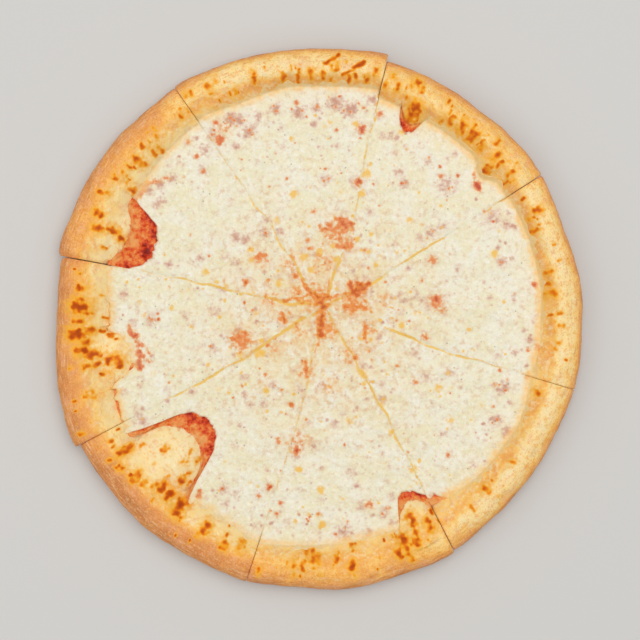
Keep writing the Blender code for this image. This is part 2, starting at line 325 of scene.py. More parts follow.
def blister_height(index, x, y, lead):
    height = np.zeros_like(x)
    for on, bearing, distance, half_width, half_length, high, beside, front in BLISTERS:
        aside = turn_from(x, y, bearing) * distance * MM / (half_width * MM + lead)
        along = (np.hypot(x, y) - distance * MM) / (half_length * MM + lead)
        spread = np.clip(1.0 - aside * aside - along * along, 0.0, 1.0)
        if on == index:
            height = np.maximum(height, high * MM * spread ** BLISTER_ROUNDNESS)
    return height


def crust_top(index, x, y, foot, reach, lead, to_cut):
    """Height of the upper side of the crust."""
    radius = np.hypot(x, y)
    pinch = CUT_PINCH * np.exp(-to_cut / CUT_PINCH_REACH)
    crest = RIM_HEIGHT + slow_wave(x, y, CRUST_WAVE) * CRUST_WAVE_DEPTH - pinch
    crest_radius = reach - CREST_INSET
    outward = np.clip((radius - crest_radius) / CREST_INSET, 0.0, 1.0)
    outside = BULGE_HEIGHT + (crest - BULGE_HEIGHT) * np.sqrt(1.0 - outward * outward)
    slope_start = np.maximum(foot, crest_radius - SLOPE_RUN) - lead
    inward = np.clip((crest_radius - radius) / (crest_radius - slope_start), 0.0, 1.0)
    slope = (crest - BASE_THICK) * (1.0 - inward * inward) ** SLOPE_EASE
    inside = BASE_THICK + np.hypot(slope, blister_height(index, x, y, lead))
    top = np.where(radius >= crest_radius, outside, inside)
    return np.where(radius <= foot - lead, BASE_THICK, top)


# The middle of the pizza's own box is the origin, and the sizes above are from the middle of its
# circle, so every point is shifted by the same amount.
outline_share = np.linspace(0.0, 1.0, 60)
outline = [slice_xy(i, outline_share, distance_to(i, outline_share, reach_radius(i, outline_share)))
           for i in range(SLICES)]
outline_x = np.concatenate([points[0] for points in outline])
outline_y = np.concatenate([points[1] for points in outline])
SHIFT_X = -0.5 * (outline_x.min() + outline_x.max())
SHIFT_Y = -0.5 * (outline_y.min() + outline_y.max())


def deselect_all():
    bpy.ops.object.select_all(action="DESELECT")


def make_active(piece):
    deselect_all()
    piece.select_set(True)
    bpy.context.view_layer.objects.active = piece


def add_values(piece, label, values):
    piece.data.attributes.new(label, "FLOAT", "POINT").data.foreach_set("value", values)


def read_values(piece, label):
    values = np.empty(len(piece.data.vertices))
    piece.data.attributes[label].data.foreach_get("value", values)
    return values


def read_points(piece):
    points = np.empty(len(piece.data.vertices) * 3)
    piece.data.vertices.foreach_get("co", points)
    return points.reshape(-1, 3)


def new_sheet(name, columns, rows):
    """A grid whose sides are shares of the way across and along the slice, kept on it."""
    deselect_all()
    bpy.ops.mesh.primitive_grid_add(x_subdivisions=columns, y_subdivisions=rows, size=1.0)
    piece = bpy.context.object
    piece.name = name
    piece.data.name = name
    points = read_points(piece)
    across = points[:, 0] + 0.5
    along = points[:, 1] + 0.5
    add_values(piece, "across", across)
    add_values(piece, "along", along)
    return piece, across, along


def place_points(piece, x, y, z):
    points = np.stack([x + SHIFT_X, y + SHIFT_Y, z], axis=1)
    piece.data.vertices.foreach_set("co", points.ravel())
    piece.data.update()


def open_edges(piece):
    """Ends of every edge, and which edges border only one face."""
    mesh = piece.data
    ends = np.empty(len(mesh.edges) * 2, dtype=int)
    mesh.edges.foreach_get("vertices", ends)
    around = np.empty(len(mesh.loops), dtype=int)
    mesh.loops.foreach_get("edge_index", around)
    faces = np.bincount(around, minlength=len(mesh.edges))
    return ends.reshape(-1, 2), faces == 1


def edit_edges(piece, chosen):
    """Enter edit mode with some edges selected."""
    mesh = piece.data
    ends, _ = open_edges(piece)
    corners = np.zeros(len(mesh.vertices), dtype=bool)
    corners[ends[chosen].ravel()] = True
    mesh.polygons.foreach_set("select", np.zeros(len(mesh.polygons), dtype=bool))
    mesh.edges.foreach_set("select", chosen)
    mesh.vertices.foreach_set("select", corners)
    make_active(piece)
    bpy.context.scene.tool_settings.mesh_select_mode = (False, True, False)
    bpy.ops.object.mode_set(mode="EDIT")


def drop_walls(piece, chosen, floor):
    """Extrude open edges and flatten the new ones at the height of a floor."""
    edit_edges(piece, chosen)
    bpy.ops.mesh.extrude_edges_move()
    bpy.ops.transform.resize(value=(1.0, 1.0, 0.0), center_override=(0.0, 0.0, floor))
    bpy.ops.object.mode_set(mode="OBJECT")


def merge_points(piece, within):
    make_active(piece)
    bpy.ops.object.mode_set(mode="EDIT")
    bpy.ops.mesh.select_all(action="SELECT")
    bpy.ops.mesh.remove_doubles(threshold=within)
    bpy.ops.object.mode_set(mode="OBJECT")


def cap(piece, chosen=None):
    """Close one ring of open edges, or all that are open, with a single face."""
    edit_edges(piece, open_edges(piece)[1] if chosen is None else chosen)
    bpy.ops.mesh.edge_face_add()
    bpy.ops.object.mode_set(mode="OBJECT")


def finish_piece(piece, sharp_angle):
    """Face outwards, and shade round with the cut edges left sharp."""
    make_active(piece)
    bpy.ops.object.mode_set(mode="EDIT")
    bpy.ops.mesh.select_all(action="SELECT")
    bpy.ops.mesh.normals_make_consistent(inside=False)
    bpy.ops.object.mode_set(mode="OBJECT")
    bpy.ops.object.shade_smooth_by_angle(angle=math.radians(sharp_angle))


def colour(hex_code):
    """Linear colour of an sRGB hex code."""
    parts = [int(hex_code[place:place + 2], 16) / 255.0 for place in (0, 2, 4)]
    linear = [c / 12.92 if c <= 0.04045 else ((c + 0.055) / 1.055) ** 2.4 for c in parts]
    return (*linear, 1.0)


def node(tree, kind, inputs=None, output=None, **settings):
    """Add a shader node with its settings, and give back one of its outputs.

    Each input is a number, a hex code or the output of another node.
    """
    made = tree.nodes.new(kind)
    for name, value in settings.items():
        setattr(made, name, value)
    for socket, value in (inputs or {}).items():
        if isinstance(value, bpy.types.NodeSocket):
            tree.links.new(value, made.inputs[socket])
        else:
            made.inputs[socket].default_value = colour(value) if isinstance(value, str) else value
    if output:
        return made.outputs[output]
    return next((socket for socket in made.outputs if socket.enabled), None)


def new_material(name):
    """A material with nothing in it, and its node tree."""
    material = bpy.data.materials.new(name)
    material.use_nodes = True
    material.node_tree.nodes.clear()
    return material, material.node_tree


def lay_over(tree, base, layers, **settings):
    """Lay colours over a base, one after another.

    Each layer is the value that it follows, where it starts and where it is full, the most that
    it covers, and its colour.
    """
    for value, low, high, most, over in layers:
        part = node(tree, "ShaderNodeMapRange", {"Value": value, "From Min": low, "From Max": high,
                                                 "To Max": most}, **settings)
        base = node(tree, "ShaderNodeMix", {"Factor": part, "A": base, "B": over},
                    data_type="RGBA")
    return base


# The photograph shows the pizza from straight above at this many millimetres to a pixel, with
# the middle of its circle at this pixel of the 640 by 640 picture.
PIXEL = 0.664 * MM
MIDDLE_PIXEL = (320.0, 319.5)
# A soft stroke reaches this many half widths, and noise frays its edge
STROKE_REACH = 2.2
FRAYING = [(2.4, 11, 0.3)]


def strokes(x, y, lines):
    """How strongly soft strokes cover points.

    Each stroke is the pixels x and y of its two ends, its half width and its strength.
    """
    cover = np.zeros_like(x)
    fray = ripples(x, y, FRAYING)
    spot = x + 1j * y
    low = complex(x.min(), y.min())
    high = complex(x.max(), y.max())
    for start_x, start_y, end_x, end_y, half_width, strength in lines:
        start = complex(start_x - MIDDLE_PIXEL[0], MIDDLE_PIXEL[1] - start_y) * PIXEL
        end = complex(end_x - MIDDLE_PIXEL[0], MIDDLE_PIXEL[1] - end_y) * PIXEL
        wide = STROKE_REACH * half_width * PIXEL + 0.5 * abs(end - start)
        middle = 0.5 * (start + end)
        if not (low.real < middle.real + wide and middle.real - wide < high.real
                and low.imag < middle.imag + wide and middle.imag - wide < high.imag):
            continue
        near = np.flatnonzero((np.abs(x - middle.real) < wide) & (np.abs(y - middle.imag) < wide))
        length = max(abs(end - start), 1e-9)
        way = (end - start) / length
        along = np.clip(((spot[near] - start) * way.conjugate()).real, 0.0, length)
        far = np.abs(spot[near] - start - along * way) / (half_width * PIXEL) + fray[near]
        cover[near] = np.maximum(cover[near], strength * np.exp(-np.maximum(far, 0.0) ** 2))
    return cover


def as_strokes(spots, wider=1.0, weaker=1.0):
    """Round strokes from spots, which are pixel x, pixel y, radius and strength."""
    return [(x, y, x, y, size * wider, strength * weaker) for x, y, size, strength in spots]


def drawn_out(spots, wider, weaker):
    """Strokes from spots, drawn out along the way from the middle of the pizza."""
    lines = []
    for x, y, size, strength in spots:
        way = np.array([x - MIDDLE_PIXEL[0], y - MIDDLE_PIXEL[1]])
        way = way / np.hypot(*way) * size * 0.5
        lines.append((x - way[0], y - way[1], x + way[0], y + way[1],
                      size * wider, strength * weaker))
    return lines


def scattered(count, seed, inner, outer, small, large, weak, strong):
    """Seeded spots between two radii of the picture, in pixels, most of them small."""
    draw = np.random.default_rng(seed)
    bearing = draw.random(count) * 2.0 * math.pi
    far = np.sqrt(inner * inner + (outer * outer - inner * inner) * draw.random(count))
    size = small + (large - small) * draw.random(count) ** 2.5
    strength = weak + (strong - weak) * draw.random(count)
    return list(zip(MIDDLE_PIXEL[0] + far * np.cos(bearing),
                    MIDDLE_PIXEL[1] - far * np.sin(bearing), size, strength))


# Browned marks on the inner slope and top of the rim, where shreds of cheese crisped
BROWN_MARKS = [
    (85, 288, 5, 0.7), (83, 307, 8, 1.0), (81, 321, 5, 0.7), (78, 334, 7, 1.0), (91, 331, 5, 0.7),
    (84, 350, 6, 0.9), (95, 355, 6, 0.7), (115, 360, 8, 0.75), (107, 373, 5, 0.6),
    (94, 394, 7, 0.45), (102, 331, 3, 0.7), (111, 336, 3, 0.5), (99, 363, 5, 0.6),
    (88, 366, 4, 0.6), (84, 300, 5, 0.7), (90, 312, 5, 0.6), (88, 342, 5, 0.7),
    (101, 215, 5, 0.75), (100, 229, 5, 0.75), (115, 231, 5, 0.8), (122, 239, 4, 0.8),
    (118, 179, 4, 0.5), (132, 188, 6, 0.5), (110, 195, 4, 0.4), (145, 149, 4, 0.5),
    (141, 163, 6, 0.6), (155, 154, 4, 0.6), (161, 151, 4, 0.6), (128, 176, 5, 0.4),
    (311, 76, 5, 0.5), (323, 77, 4, 0.5), (336, 70, 4, 0.6), (375, 74, 4, 0.6), (331, 84, 4, 0.5),
    (349, 81, 4, 0.5), (367, 80, 4, 0.55), (346, 90, 3, 0.5),
    (255, 82, 4, 0.6), (284, 81, 5, 0.5), (298, 80, 4, 0.45), (210, 91, 6, 0.4),
    (397, 89, 4, 0.7), (413, 113, 8, 0.85), (415, 87, 7, 0.5), (461, 128, 7, 0.6),
    (471, 138, 7, 0.7), (509, 175, 4, 0.6), (486, 170, 5, 0.6), (494, 159, 5, 0.7),
    (498, 166, 4, 0.6), (505, 183, 3, 0.6), (450, 122, 5, 0.5), (480, 149, 5, 0.5),
    (535, 212, 5, 0.7), (529, 219, 3, 0.6), (533, 231, 4, 0.6), (547, 272, 4, 0.6),
    (546, 284, 4, 0.6), (549, 294, 5, 0.7), (549, 315, 3, 0.5), (557, 313, 3, 0.5),
    (536, 392, 4, 0.6), (484, 487, 5, 0.6), (470, 506, 4, 0.4),
    (225, 543, 5, 0.7), (242, 544, 5, 0.65), (293, 562, 5, 0.5), (303, 563, 5, 0.5),
    (314, 556, 8, 0.55), (337, 555, 5, 0.5), (352, 563, 5, 0.85), (352, 547, 4, 0.45),
    (411, 518, 6, 0.7), (427, 523, 6, 0.7), (404, 540, 7, 0.8), (415, 531, 4, 0.7),
    (416, 539, 5, 0.8), (398, 551, 5, 0.7), (409, 554, 5, 0.6),
    (124, 451, 5, 0.9), (130, 448, 4, 0.9), (166, 448, 5, 0.45), (142, 446, 4, 0.4),
    (155, 463, 3, 0.4), (186, 461, 5, 0.4), (191, 451, 4, 0.35), (198, 460, 3, 0.65),
    (138, 475, 6, 0.6), (120, 465, 3, 0.7), (146, 481, 4, 0.5), (156, 484, 4, 0.5),
    (183, 479, 5, 0.6), (164, 486, 5, 0.9), (170, 494, 5, 1.0), (180, 506, 7, 1.0),
    (187, 502, 5, 0.5), (207, 526, 6, 0.7), (170, 475, 3, 0.4),
]
# Small marks of the same kind, this many to each slice
draw_mark = np.random.default_rng(41)
for index, count in enumerate([24, 22, 18, 20, 20, 22, 6, 10]):
    place = draw_mark.random(count)
    inner = foot_radius(index, place) + 1.0 * MM
    outer = reach_radius(index, place) - 9.0 * MM
    radius = inner + (outer - inner) * draw_mark.random(count) ** 0.8
    mark_x, mark_y = slice_xy(index, place, distance_to(index, place, radius))
    BROWN_MARKS += list(zip(MIDDLE_PIXEL[0] + mark_x / PIXEL, MIDDLE_PIXEL[1] - mark_y / PIXEL,
                            1.5 + 2.5 * draw_mark.random(count) ** 2,
                            0.35 + 0.35 * draw_mark.random(count)))
# Two marks that lie slanting: pixels x and y of both ends, half width, strength
SLANTING_MARKS = [(325, 66, 339, 58, 2.4, 0.85), (342, 77, 355, 72, 1.8, 0.60),
                  (354, 71, 363, 65, 2.8, 0.75)]
CRISP = drawn_out(BROWN_MARKS, 0.75, 0.95) + SLANTING_MARKS
TOASTED = drawn_out(BROWN_MARKS, 1.7, 0.9) + SLANTING_MARKS
# How dark the oven made each slice's rim on its slope and outside, 1 for much darker than usual.
# Part of it is painted light and shade: the outside is paler on the slices that face the key light
# at the upper right and darker on those at the lower left, and on the slope the right and top
# slices, whose slopes face away from the light, are darker.
BAKED_AND_SHADED_SLOPE = [0.45, 0.55, 0.05, 0.20, 0.00, 0.40, 0.40, 0.60]
BAKED_AND_SHADED_OUTSIDE = [-0.50, -0.80, 0.15, 0.50, 0.65, 0.00, -0.85, -0.85]
BAKED_BELOW = 0.1
CRUST_COLUMNS = 240
DISC_ROWS = 8
SLOPE_ROWS = 64
OUTER_ROWS = 44
UNDER_ROWS = 20
CRUST_ROWS = DISC_ROWS + SLOPE_ROWS + OUTER_ROWS + UNDER_ROWS
OUTER_ARC = 22.0 * MM
UNDER_ARC = 13.0 * MM
SECOND_ROW = 12.0 * MM
# Share of a cut's width that closes under the rim, and the width left at its bottom
CLOSED_UNDER = 0.95
BOTTOM_GAP = 0.05 * MM
# Points this share of a slice's width from its side, or nearer, lie in the cut
AT_CUT = 1e-4
CRUST_MERGE = 0.06 * MM
# Reach of the rounded lip along each cut, wider where the crust tore open, and its depth
LIP_ROUND = np.array([1.9, 1.3, 1.3, 3.2, 1.3, 1.3, 1.7, 1.3]) * MM
LIP_DEEP = 0.5
# The surface of the slope is this many times as long as its run
SLOPE_LENGTH = 1.4
# Relief of the rim in sizes, seeds and heights: puffs, which are weaker outside, stretch marks,
# which lie only outside and are finer across the rim, and the grain of the surface
PUFFS = [(15.0, 31, 1.1), (6.0, 32, 0.45)]
OUTSIDE_PUFFS = 0.4
STRETCH_MARKS = [(11.0, 33, 0.2)]
STRETCH_FINER = 5.0
GRAIN = [(1.7, 34, 0.09)]
CRISP_HIGH = 0.25
# Sauce that ran up the foot of the slope ends after about this far
SAUCE_RUN = 1.5 * MM
# The lowest row of the outside that still lies outside the flat part of the underside
TURN_ROW = DISC_ROWS + SLOPE_ROWS + math.ceil(
    OUTER_ROWS * math.asin((CREST_INSET - UNDERCUT) / CREST_INSET) / (0.5 * math.pi))


def to_cuts(index, x, y, distance, gap_of=cut_gap):
    """Shortest way from points to either lip of the slice."""
    left_x, left_y = slice_xy(index, 0.0, distance, gap_of)
    right_x, right_y = slice_xy(index, 1.0, distance, gap_of)
    return np.minimum(np.hypot(x - left_x, y - left_y), np.hypot(x - right_x, y - right_y))


def outward_normals(x, y, z, across, along, columns, rows):
    """Outward direction at each point of a sheet, from its neighbours on the grid."""
    order = np.lexsort((across, along))
    grid = np.stack([x[order], y[order], z[order]], axis=1).reshape(rows + 1, columns + 1, 3)
    normal = np.cross(np.gradient(grid, axis=0), np.gradient(grid, axis=1))
    normal /= np.maximum(np.linalg.norm(normal, axis=2, keepdims=True), 1e-12)
    normals = np.empty((len(x), 3))
    normals[order] = normal.reshape(-1, 3)
    return normals.T


def make_crust(index):
    piece, across, along = new_sheet(f"slice_{index + 1}_bread", CRUST_COLUMNS, CRUST_ROWS)
    row = np.rint(along * CRUST_ROWS)
    foot = by_column(foot_line, index, across, CRUST_COLUMNS)
    reach = by_column(reach_radius, index, across, CRUST_COLUMNS)
    lead = by_column(foot_lead, index, across, CRUST_COLUMNS)
    crest = reach - CREST_INSET
    # Rows of the flat disc follow the knots of the cuts
    disc = [TIP_RADIUS, SECOND_ROW] + CUT_KNOTS[:-1]
    distance = np.interp(row, range(len(disc)), disc)
    to_foot = (row - len(disc) + 1) / (DISC_ROWS - len(disc) + 1)
    foot_distance = distance_to(index, across, foot - lead)
    distance = np.where(to_foot > 0.0, disc[-1] + (foot_distance - disc[-1]) * to_foot, distance)
    # Rows of the rim run up the slope, over the crest, down the outside and under it
    on_slope = np.clip((row - DISC_ROWS) / SLOPE_ROWS, 0.0, 1.0)
    on_outside = np.clip((row - DISC_ROWS - SLOPE_ROWS) / OUTER_ROWS, 0.0, 1.0)
    on_under = np.clip((row - DISC_ROWS - SLOPE_ROWS - OUTER_ROWS) / UNDER_ROWS, 0.0, 1.0)
    outward = np.sin(0.5 * math.pi * on_outside)
    radius = foot - lead + (crest - foot + lead) * on_slope + CREST_INSET * outward
    radius = radius - UNDERCUT * (1.0 - np.cos(0.5 * math.pi * on_under))
    on_rim = row > DISC_ROWS
    distance = np.where(on_rim, distance_to(index, across, radius), distance)
    x, y = slice_xy(index, across, distance,
                    lambda cut, away: cut_gap(cut, away) * (1.0 - CLOSED_UNDER * on_under))
    to_cut = to_cuts(index, x, y, distance)
    z = crust_top(index, x, y, foot, reach, lead, to_cut)
    z = np.where(on_outside >= 1.0, BULGE_HEIGHT, z)
    under = 1.0 - np.sin(0.5 * math.pi * on_under)
    z = np.where(on_under > 0.0, BULGE_HEIGHT * under, z)
    z = np.where(on_rim, z, BASE_THICK)

    # Relief along the surface: small puffs, stretch marks of the dough, crisp brown shreds.
    # The way along the rim is measured so that it has no jump inside a slice
    middle = (FIRST_BEARING + 360 // SLICES * index + 180) % 360 - 180
    arc = (turn_from(x, y, middle) + math.radians(middle)) * MEAN_RADIUS
    profile = (SLOPE_RUN + SLOPE_LENGTH * np.minimum(radius - crest, 0.0)
               + on_outside * OUTER_ARC + on_under * UNDER_ARC)
    weaker = 1.0 + (OUTSIDE_PUFFS - 1.0) * ease(0.2, 0.9, on_outside)
    puffs = ripples(arc, profile, PUFFS) * weaker
    stretched = ripples(arc, profile * STRETCH_FINER, STRETCH_MARKS) * on_outside
    marks = strokes(x, y, CRISP)
    relief = puffs + stretched + ripples(arc, profile, GRAIN) + marks * CRISP_HIGH
    relief = relief * MM * ease(0.05, 0.4, on_slope)
    lip_round = LIP_ROUND[nearest_cut(index, across)]
    lip = (1.0 - np.clip(to_cut / lip_round, 0.0, 1.0)) ** 2
    relief = (relief - lip * LIP_DEEP * lip_round) * on_rim * (1.0 - ease(0.3, 0.9, on_under))
    normals = outward_normals(x, y, z, across, along, CRUST_COLUMNS, CRUST_ROWS)
    # Beside a cut the relief pushes in or out, but not across the cut
    aside = np.stack([HUB[1] - y, x - HUB[0]]) / distance
    over_cut = (normals[:2] * aside).sum(axis=0) * np.clip(1.0 - to_cut / lip_round, 0.0, 1.0)
    normals[:2] = normals[:2] - aside * over_cut
    place_points(piece, x + normals[0] * relief, y + normals[1] * relief, z + normals[2] * relief)

    # Values that the material reads: place across the rim, browning and a way along the rim
    up_slope = np.clip((radius - crest + SLOPE_RUN) / SLOPE_RUN, 0.0, 1.0) * on_rim
    add_values(piece, "rim_place",
               np.where(on_outside > 0.0, 1.0, up_slope) + on_outside + on_under)
    add_values(piece, "browned", marks)
    add_values(piece, "toasted", strokes(x, y, TOASTED))
    # Each slice's darkening, blended into its neighbours: part oven colour, part painted light and
    # shade
    follow = (index + 1) % SLICES
    mostly = [[0.5 * (bake[index - 1] + bake[index]), bake[index], bake[index], bake[index],
               0.5 * (bake[index] + bake[follow])] for bake in (BAKED_AND_SHADED_SLOPE, BAKED_AND_SHADED_OUTSIDE)]
    to_outside = ease(0.6, 1.0, up_slope)
    lower = ease(0.3, 0.9, on_outside)
    slope_baked_and_shaded = blend_through(mostly[0], across)
    outside_baked_and_shaded = blend_through(mostly[1], across) * (1.0 - lower) + BAKED_BELOW * lower
    add_values(piece, "baked_and_shaded", slope_baked_and_shaded * (1.0 - to_outside) + outside_baked_and_shaded * to_outside)
    # Sauce that ran a little way up the foot of the slope beside the bare rings
    bare = by_column(lambda on, share: foot_line(on, share) - shown_line(on, share),
                     index, across, CRUST_COLUMNS)
    add_values(piece, "sauced", ease(1.0 * MM, 3.0 * MM, bare)
               * np.exp(-np.maximum(radius - foot, 0.0) / SAUCE_RUN))
    way = np.stack([arc, profile, np.full_like(arc, index * 0.1)], axis=1)
    ways = piece.data.attributes.new("rim_way", "FLOAT_VECTOR", "POINT")
    ways.data.foreach_set("vector", way.ravel())
    return piece


def close_crust(index, piece):
    """Walls down the cuts and the tip, then the two ends of the rim and the flat underside."""
    ends, is_open = open_edges(piece)
    upper = np.rint(read_values(piece, "along") * CRUST_ROWS) <= TURN_ROW
    drop_walls(piece, is_open & upper[ends[:, 0]] & upper[ends[:, 1]], 0.0)
    merge_points(piece, CRUST_MERGE)
    # The two sides of a cut come together at the bottom, so no light comes through
    points = read_points(piece)
    across = read_values(piece, "across")
    at_bottom = (points[:, 2] < 1e-6) & ((across < AT_CUT) | (across > 1.0 - AT_CUT))
    from_hub = np.hypot(points[at_bottom, 0] - SHIFT_X - HUB[0],
                        points[at_bottom, 1] - SHIFT_Y - HUB[1])
    shut = slice_xy(index, np.rint(across[at_bottom]), from_hub, lambda cut, away: BOTTOM_GAP)
    points[at_bottom, 0] = shut[0] + SHIFT_X
    points[at_bottom, 1] = shut[1] + SHIFT_Y
    piece.data.vertices.foreach_set("co", points.ravel())
    for share in (0.0, 1.0):
        ends, is_open = open_edges(piece)
        row = np.rint(read_values(piece, "along") * CRUST_ROWS)
        at_end = (np.abs(read_values(piece, "across") - share) < AT_CUT) & (row >= TURN_ROW)
        cap(piece, is_open & at_end[ends[:, 0]] & at_end[ends[:, 1]])
    cap(piece)


def give_cut_faces(piece, slot):
    """Put the material of a slot on the faces that lie in a cut."""
    mesh = piece.data
    corners = np.empty(len(mesh.loops), dtype=int)
    mesh.loops.foreach_get("vertex_index", corners)
    starts = np.empty(len(mesh.polygons), dtype=int)
    mesh.polygons.foreach_get("loop_start", starts)
    across = read_values(piece, "across")[corners]
    low = np.minimum.reduceat(across, starts)
    high = np.maximum.reduceat(across, starts)
    in_cut = (high < AT_CUT) | (low > 1.0 - AT_CUT)
    mesh.polygons.foreach_set("material_index", np.where(in_cut, slot, 0).astype(int))


# Baked wheat dough: matt and dry, cream where fat reached it, golden on top and tan outside,
# with crisp orange-brown marks, a dusting of flour and fine stretch marks along the rim.
bread, tree = new_material("baked_wheat_dough")
way = node(tree, "ShaderNodeAttribute", output="Vector", attribute_name="rim_way")
place, baked_and_shaded, toasted, browned, sauced = [
    node(tree, "ShaderNodeAttribute", output="Fac", attribute_name=label)
    for label in ("rim_place", "baked_and_shaded", "toasted", "browned", "sauced")]
# Noises over the rim: size in millimetres, how much finer across the rim, detail, roughness
cloudy, patchy, grainy, streaky, curly, rosy, stringy = [
    node(tree, "ShaderNodeTexNoise", {
        "Vector": node(tree, "ShaderNodeVectorMath", {0: way, 1: (1.0, finer, 1.0)},
                       operation="MULTIPLY"),
        "Scale": 1.0 / (size * MM), "Detail": detail, "Roughness": rough})
    for size, finer, detail, rough in (
        (13.0, 1.0, 3.0, 0.6), (4.0, 1.0, 3.0, 0.6), (1.2, 1.0, 2.0, 0.6), (9.0, 6.0, 3.0, 0.65),
        (4.2, 0.9, 0.6, 0.4), (8.0, 1.3, 2.0, 0.5), (4.0, 0.8, 3.0, 0.6))]
# How dark the oven made it, from the pale foot of the slope to the tan outside; each slice's
# part of it also holds painted light and shade that follows the key light
tone_with_shade = place
for part, weight in ((cloudy, 1.5), (patchy, 0.6), (baked_and_shaded, 1.0)):
    tone_with_shade = node(tree, "ShaderNodeMath", {0: part, 1: weight, 2: tone_with_shade}, operation="MULTIPLY_ADD")
tan = lay_over(tree, "FBE9BA", [(tone_with_shade, low, high, 1.0, over) for low, high, over in (
    (0.80, 1.49, "FFE09A"), (1.49, 1.80, "FFD079"), (1.80, 2.10, "FCBC60"),
    (2.10, 2.43, "F2AA5C"), (2.43, 2.83, "E29658"), (2.83, 3.30, "C87E4A"),
    (3.30, 4.30, "AE6A3C"))])
# Streaks only on the outside, shreds of cheese only on the slope, gold round the crisp marks
dark_most, pale_most, shred_most, grain_most, sauce_most, frayed = [
    node(tree, "ShaderNodeMapRange", {"Value": value, "From Min": low, "From Max": high,
                                      "To Max": most}, interpolation_type="SMOOTHSTEP")
    for value, low, high, most in ((place, 0.9, 1.4, 0.55), (place, 0.9, 1.4, 0.7),
                                   (place, 1.05, 0.5, 0.6), (place, 0.4, 1.1, 0.38),
                                   (sauced, 0.12, 0.4, 0.9),
                                   (browned, 0.0, 0.35, 1.0))]
golden = node(tree, "ShaderNodeMath", {0: toasted, 1: patchy}, operation="MULTIPLY")
# Crisp marks: the soft spots of the mesh with edges frayed by noise
uneven = node(tree, "ShaderNodeMath", {0: curly, 1: 1.4, 2: -0.70}, operation="MULTIPLY_ADD")
scorched = node(tree, "ShaderNodeMath", {0: uneven, 1: frayed, 2: browned},
                operation="MULTIPLY_ADD")
marks = lay_over(tree, "F8C048", [(scorched, low, high, 1.0, over) for low, high, over in (
    (0.14, 0.36, "F6A41E"), (0.36, 0.56, "E87A04"), (0.56, 0.78, "C85000"),
    (0.78, 1.25, "9A3000"))])
uneven = node(tree, "ShaderNodeMath", {0: sauced, 1: 0.8}, operation="SUBTRACT")
sauce_stain = node(tree, "ShaderNodeMath", {0: patchy, 1: 1.6, 2: uneven}, operation="MULTIPLY_ADD")
tan = lay_over(tree, tan, [
    (streaky, 0.46, 0.30, dark_most, "C97A38"), (streaky, 0.50, 0.68, pale_most, "F6C890"),
    (rosy, 0.52, 0.70, 0.45, "EFB084"), (patchy, 0.50, 0.70, 0.55, "F2A23C"),
    (grainy, 0.48, 0.33, grain_most, "D0803C"), (grainy, 0.52, 0.70, 0.30, "FFE2B0"),
    (stringy, 0.46, 0.66, shred_most, "FDECBC"), (golden, 0.05, 0.36, 0.85, "F8B440"),
    (scorched, 0.08, 0.38, 0.95, marks), (sauce_stain, 0.15, 0.70, sauce_most, "D9692E"),
], interpolation_type="SMOOTHSTEP")
relief = grainy
for part, weight in ((patchy, 1.6), (streaky, 1.2), (scorched, 0.4)):
    relief = node(tree, "ShaderNodeMath", {0: part, 1: weight, 2: relief}, operation="MULTIPLY_ADD")
node(tree, "ShaderNodeOutputMaterial", {"Surface": node(tree, "ShaderNodeBsdfPrincipled", {
    "Base Color": tan,
    "Roughness": node(tree, "ShaderNodeMapRange", {"Value": place, "From Min": 0.2,
                                                   "From Max": 1.2, "To Min": 0.5, "To Max": 0.8}),
    "Normal": node(tree, "ShaderNodeBump", {"Height": relief, "Strength": 0.6,
                                            "Distance": 0.4 * MM}),
    "Specular IOR Level": 0.15, "Subsurface Weight": 0.1,
    "Subsurface Radius": (1.0, 0.5, 0.25), "Subsurface Scale": 1.5 * MM})})

# Crumb of the bread where it is cut: pale, soft and matt, full of small pores, and browner low
# down, which is painted shade at the bottom of the deep narrow cut.
crumb, tree = new_material("bread_crumb")
ground = node(tree, "ShaderNodeTexCoord", output="Object")
height = node(tree, "ShaderNodeSeparateXYZ", {"Vector": ground}, output="Z")
mottle = node(tree, "ShaderNodeTexNoise", {"Vector": ground, "Scale": 1.0 / (5.0 * MM),
                                           "Detail": 3.0})
pores = node(tree, "ShaderNodeTexVoronoi", {"Vector": ground, "Scale": 1.0 / (2.2 * MM)})
# Painted shade: the crumb turns brown towards the bottom of the cut, where the gap is deep and dark
crumb_and_painted_shade = lay_over(tree, "E8C890", [(mottle, 0.0, 1.0, 1.0, "F6E2BC"),
                                       (height, 8.0 * MM, 1.0 * MM, 0.6, "D09650")])
node(tree, "ShaderNodeOutputMaterial", {"Surface": node(tree, "ShaderNodeBsdfPrincipled", {
    "Base Color": crumb_and_painted_shade, "Roughness": 0.85, "Specular IOR Level": 0.2,
    "Normal": node(tree, "ShaderNodeBump", {"Height": pores, "Strength": 0.8,
                                            "Distance": 0.8 * MM}),
    "Subsurface Weight": 1.0, "Subsurface Radius": (1.0, 0.7, 0.4),
    "Subsurface Scale": 5.0 * MM})})

for index in range(SLICES):
    crust = make_crust(index)
    close_crust(index, crust)
    crust.data.materials.append(bread)
    crust.data.materials.append(crumb)
    give_cut_faces(crust, 1)
    finish_piece(crust, 60.0)
    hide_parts(f"slice_{index + 1}_crust")
    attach(crust, "root")


# The tomato sauce: crushed cooked tomato spread on the dough before baking. The cheese covers it
# except in rings beside the swellings of the rim, where it stands in glossy red lumps.
SAUCE_COLUMNS = 200
SAUCE_ROWS = 72
SAUCE_MIDDLE_ROWS = 12
SAUCE_DENSE = 45.0 * MM
SAUCE_UNDER_RIM = 2.0 * MM
SAUCE_PILED = 1.2 * MM
# Lumps of crushed tomato in sizes, seeds and heights, above this mean height in millimetres
SAUCE_MEAN = 0.75
SAUCE_LUMPS = [(3.4, 51, 0.75), (1.8, 52, 0.4), (6.0, 53, 0.5)]
SAUCE_LEVEL = BASE_THICK + LAYER_GAP + SAUCE_THICK
CLOSED_GAP = 0.02 * MM
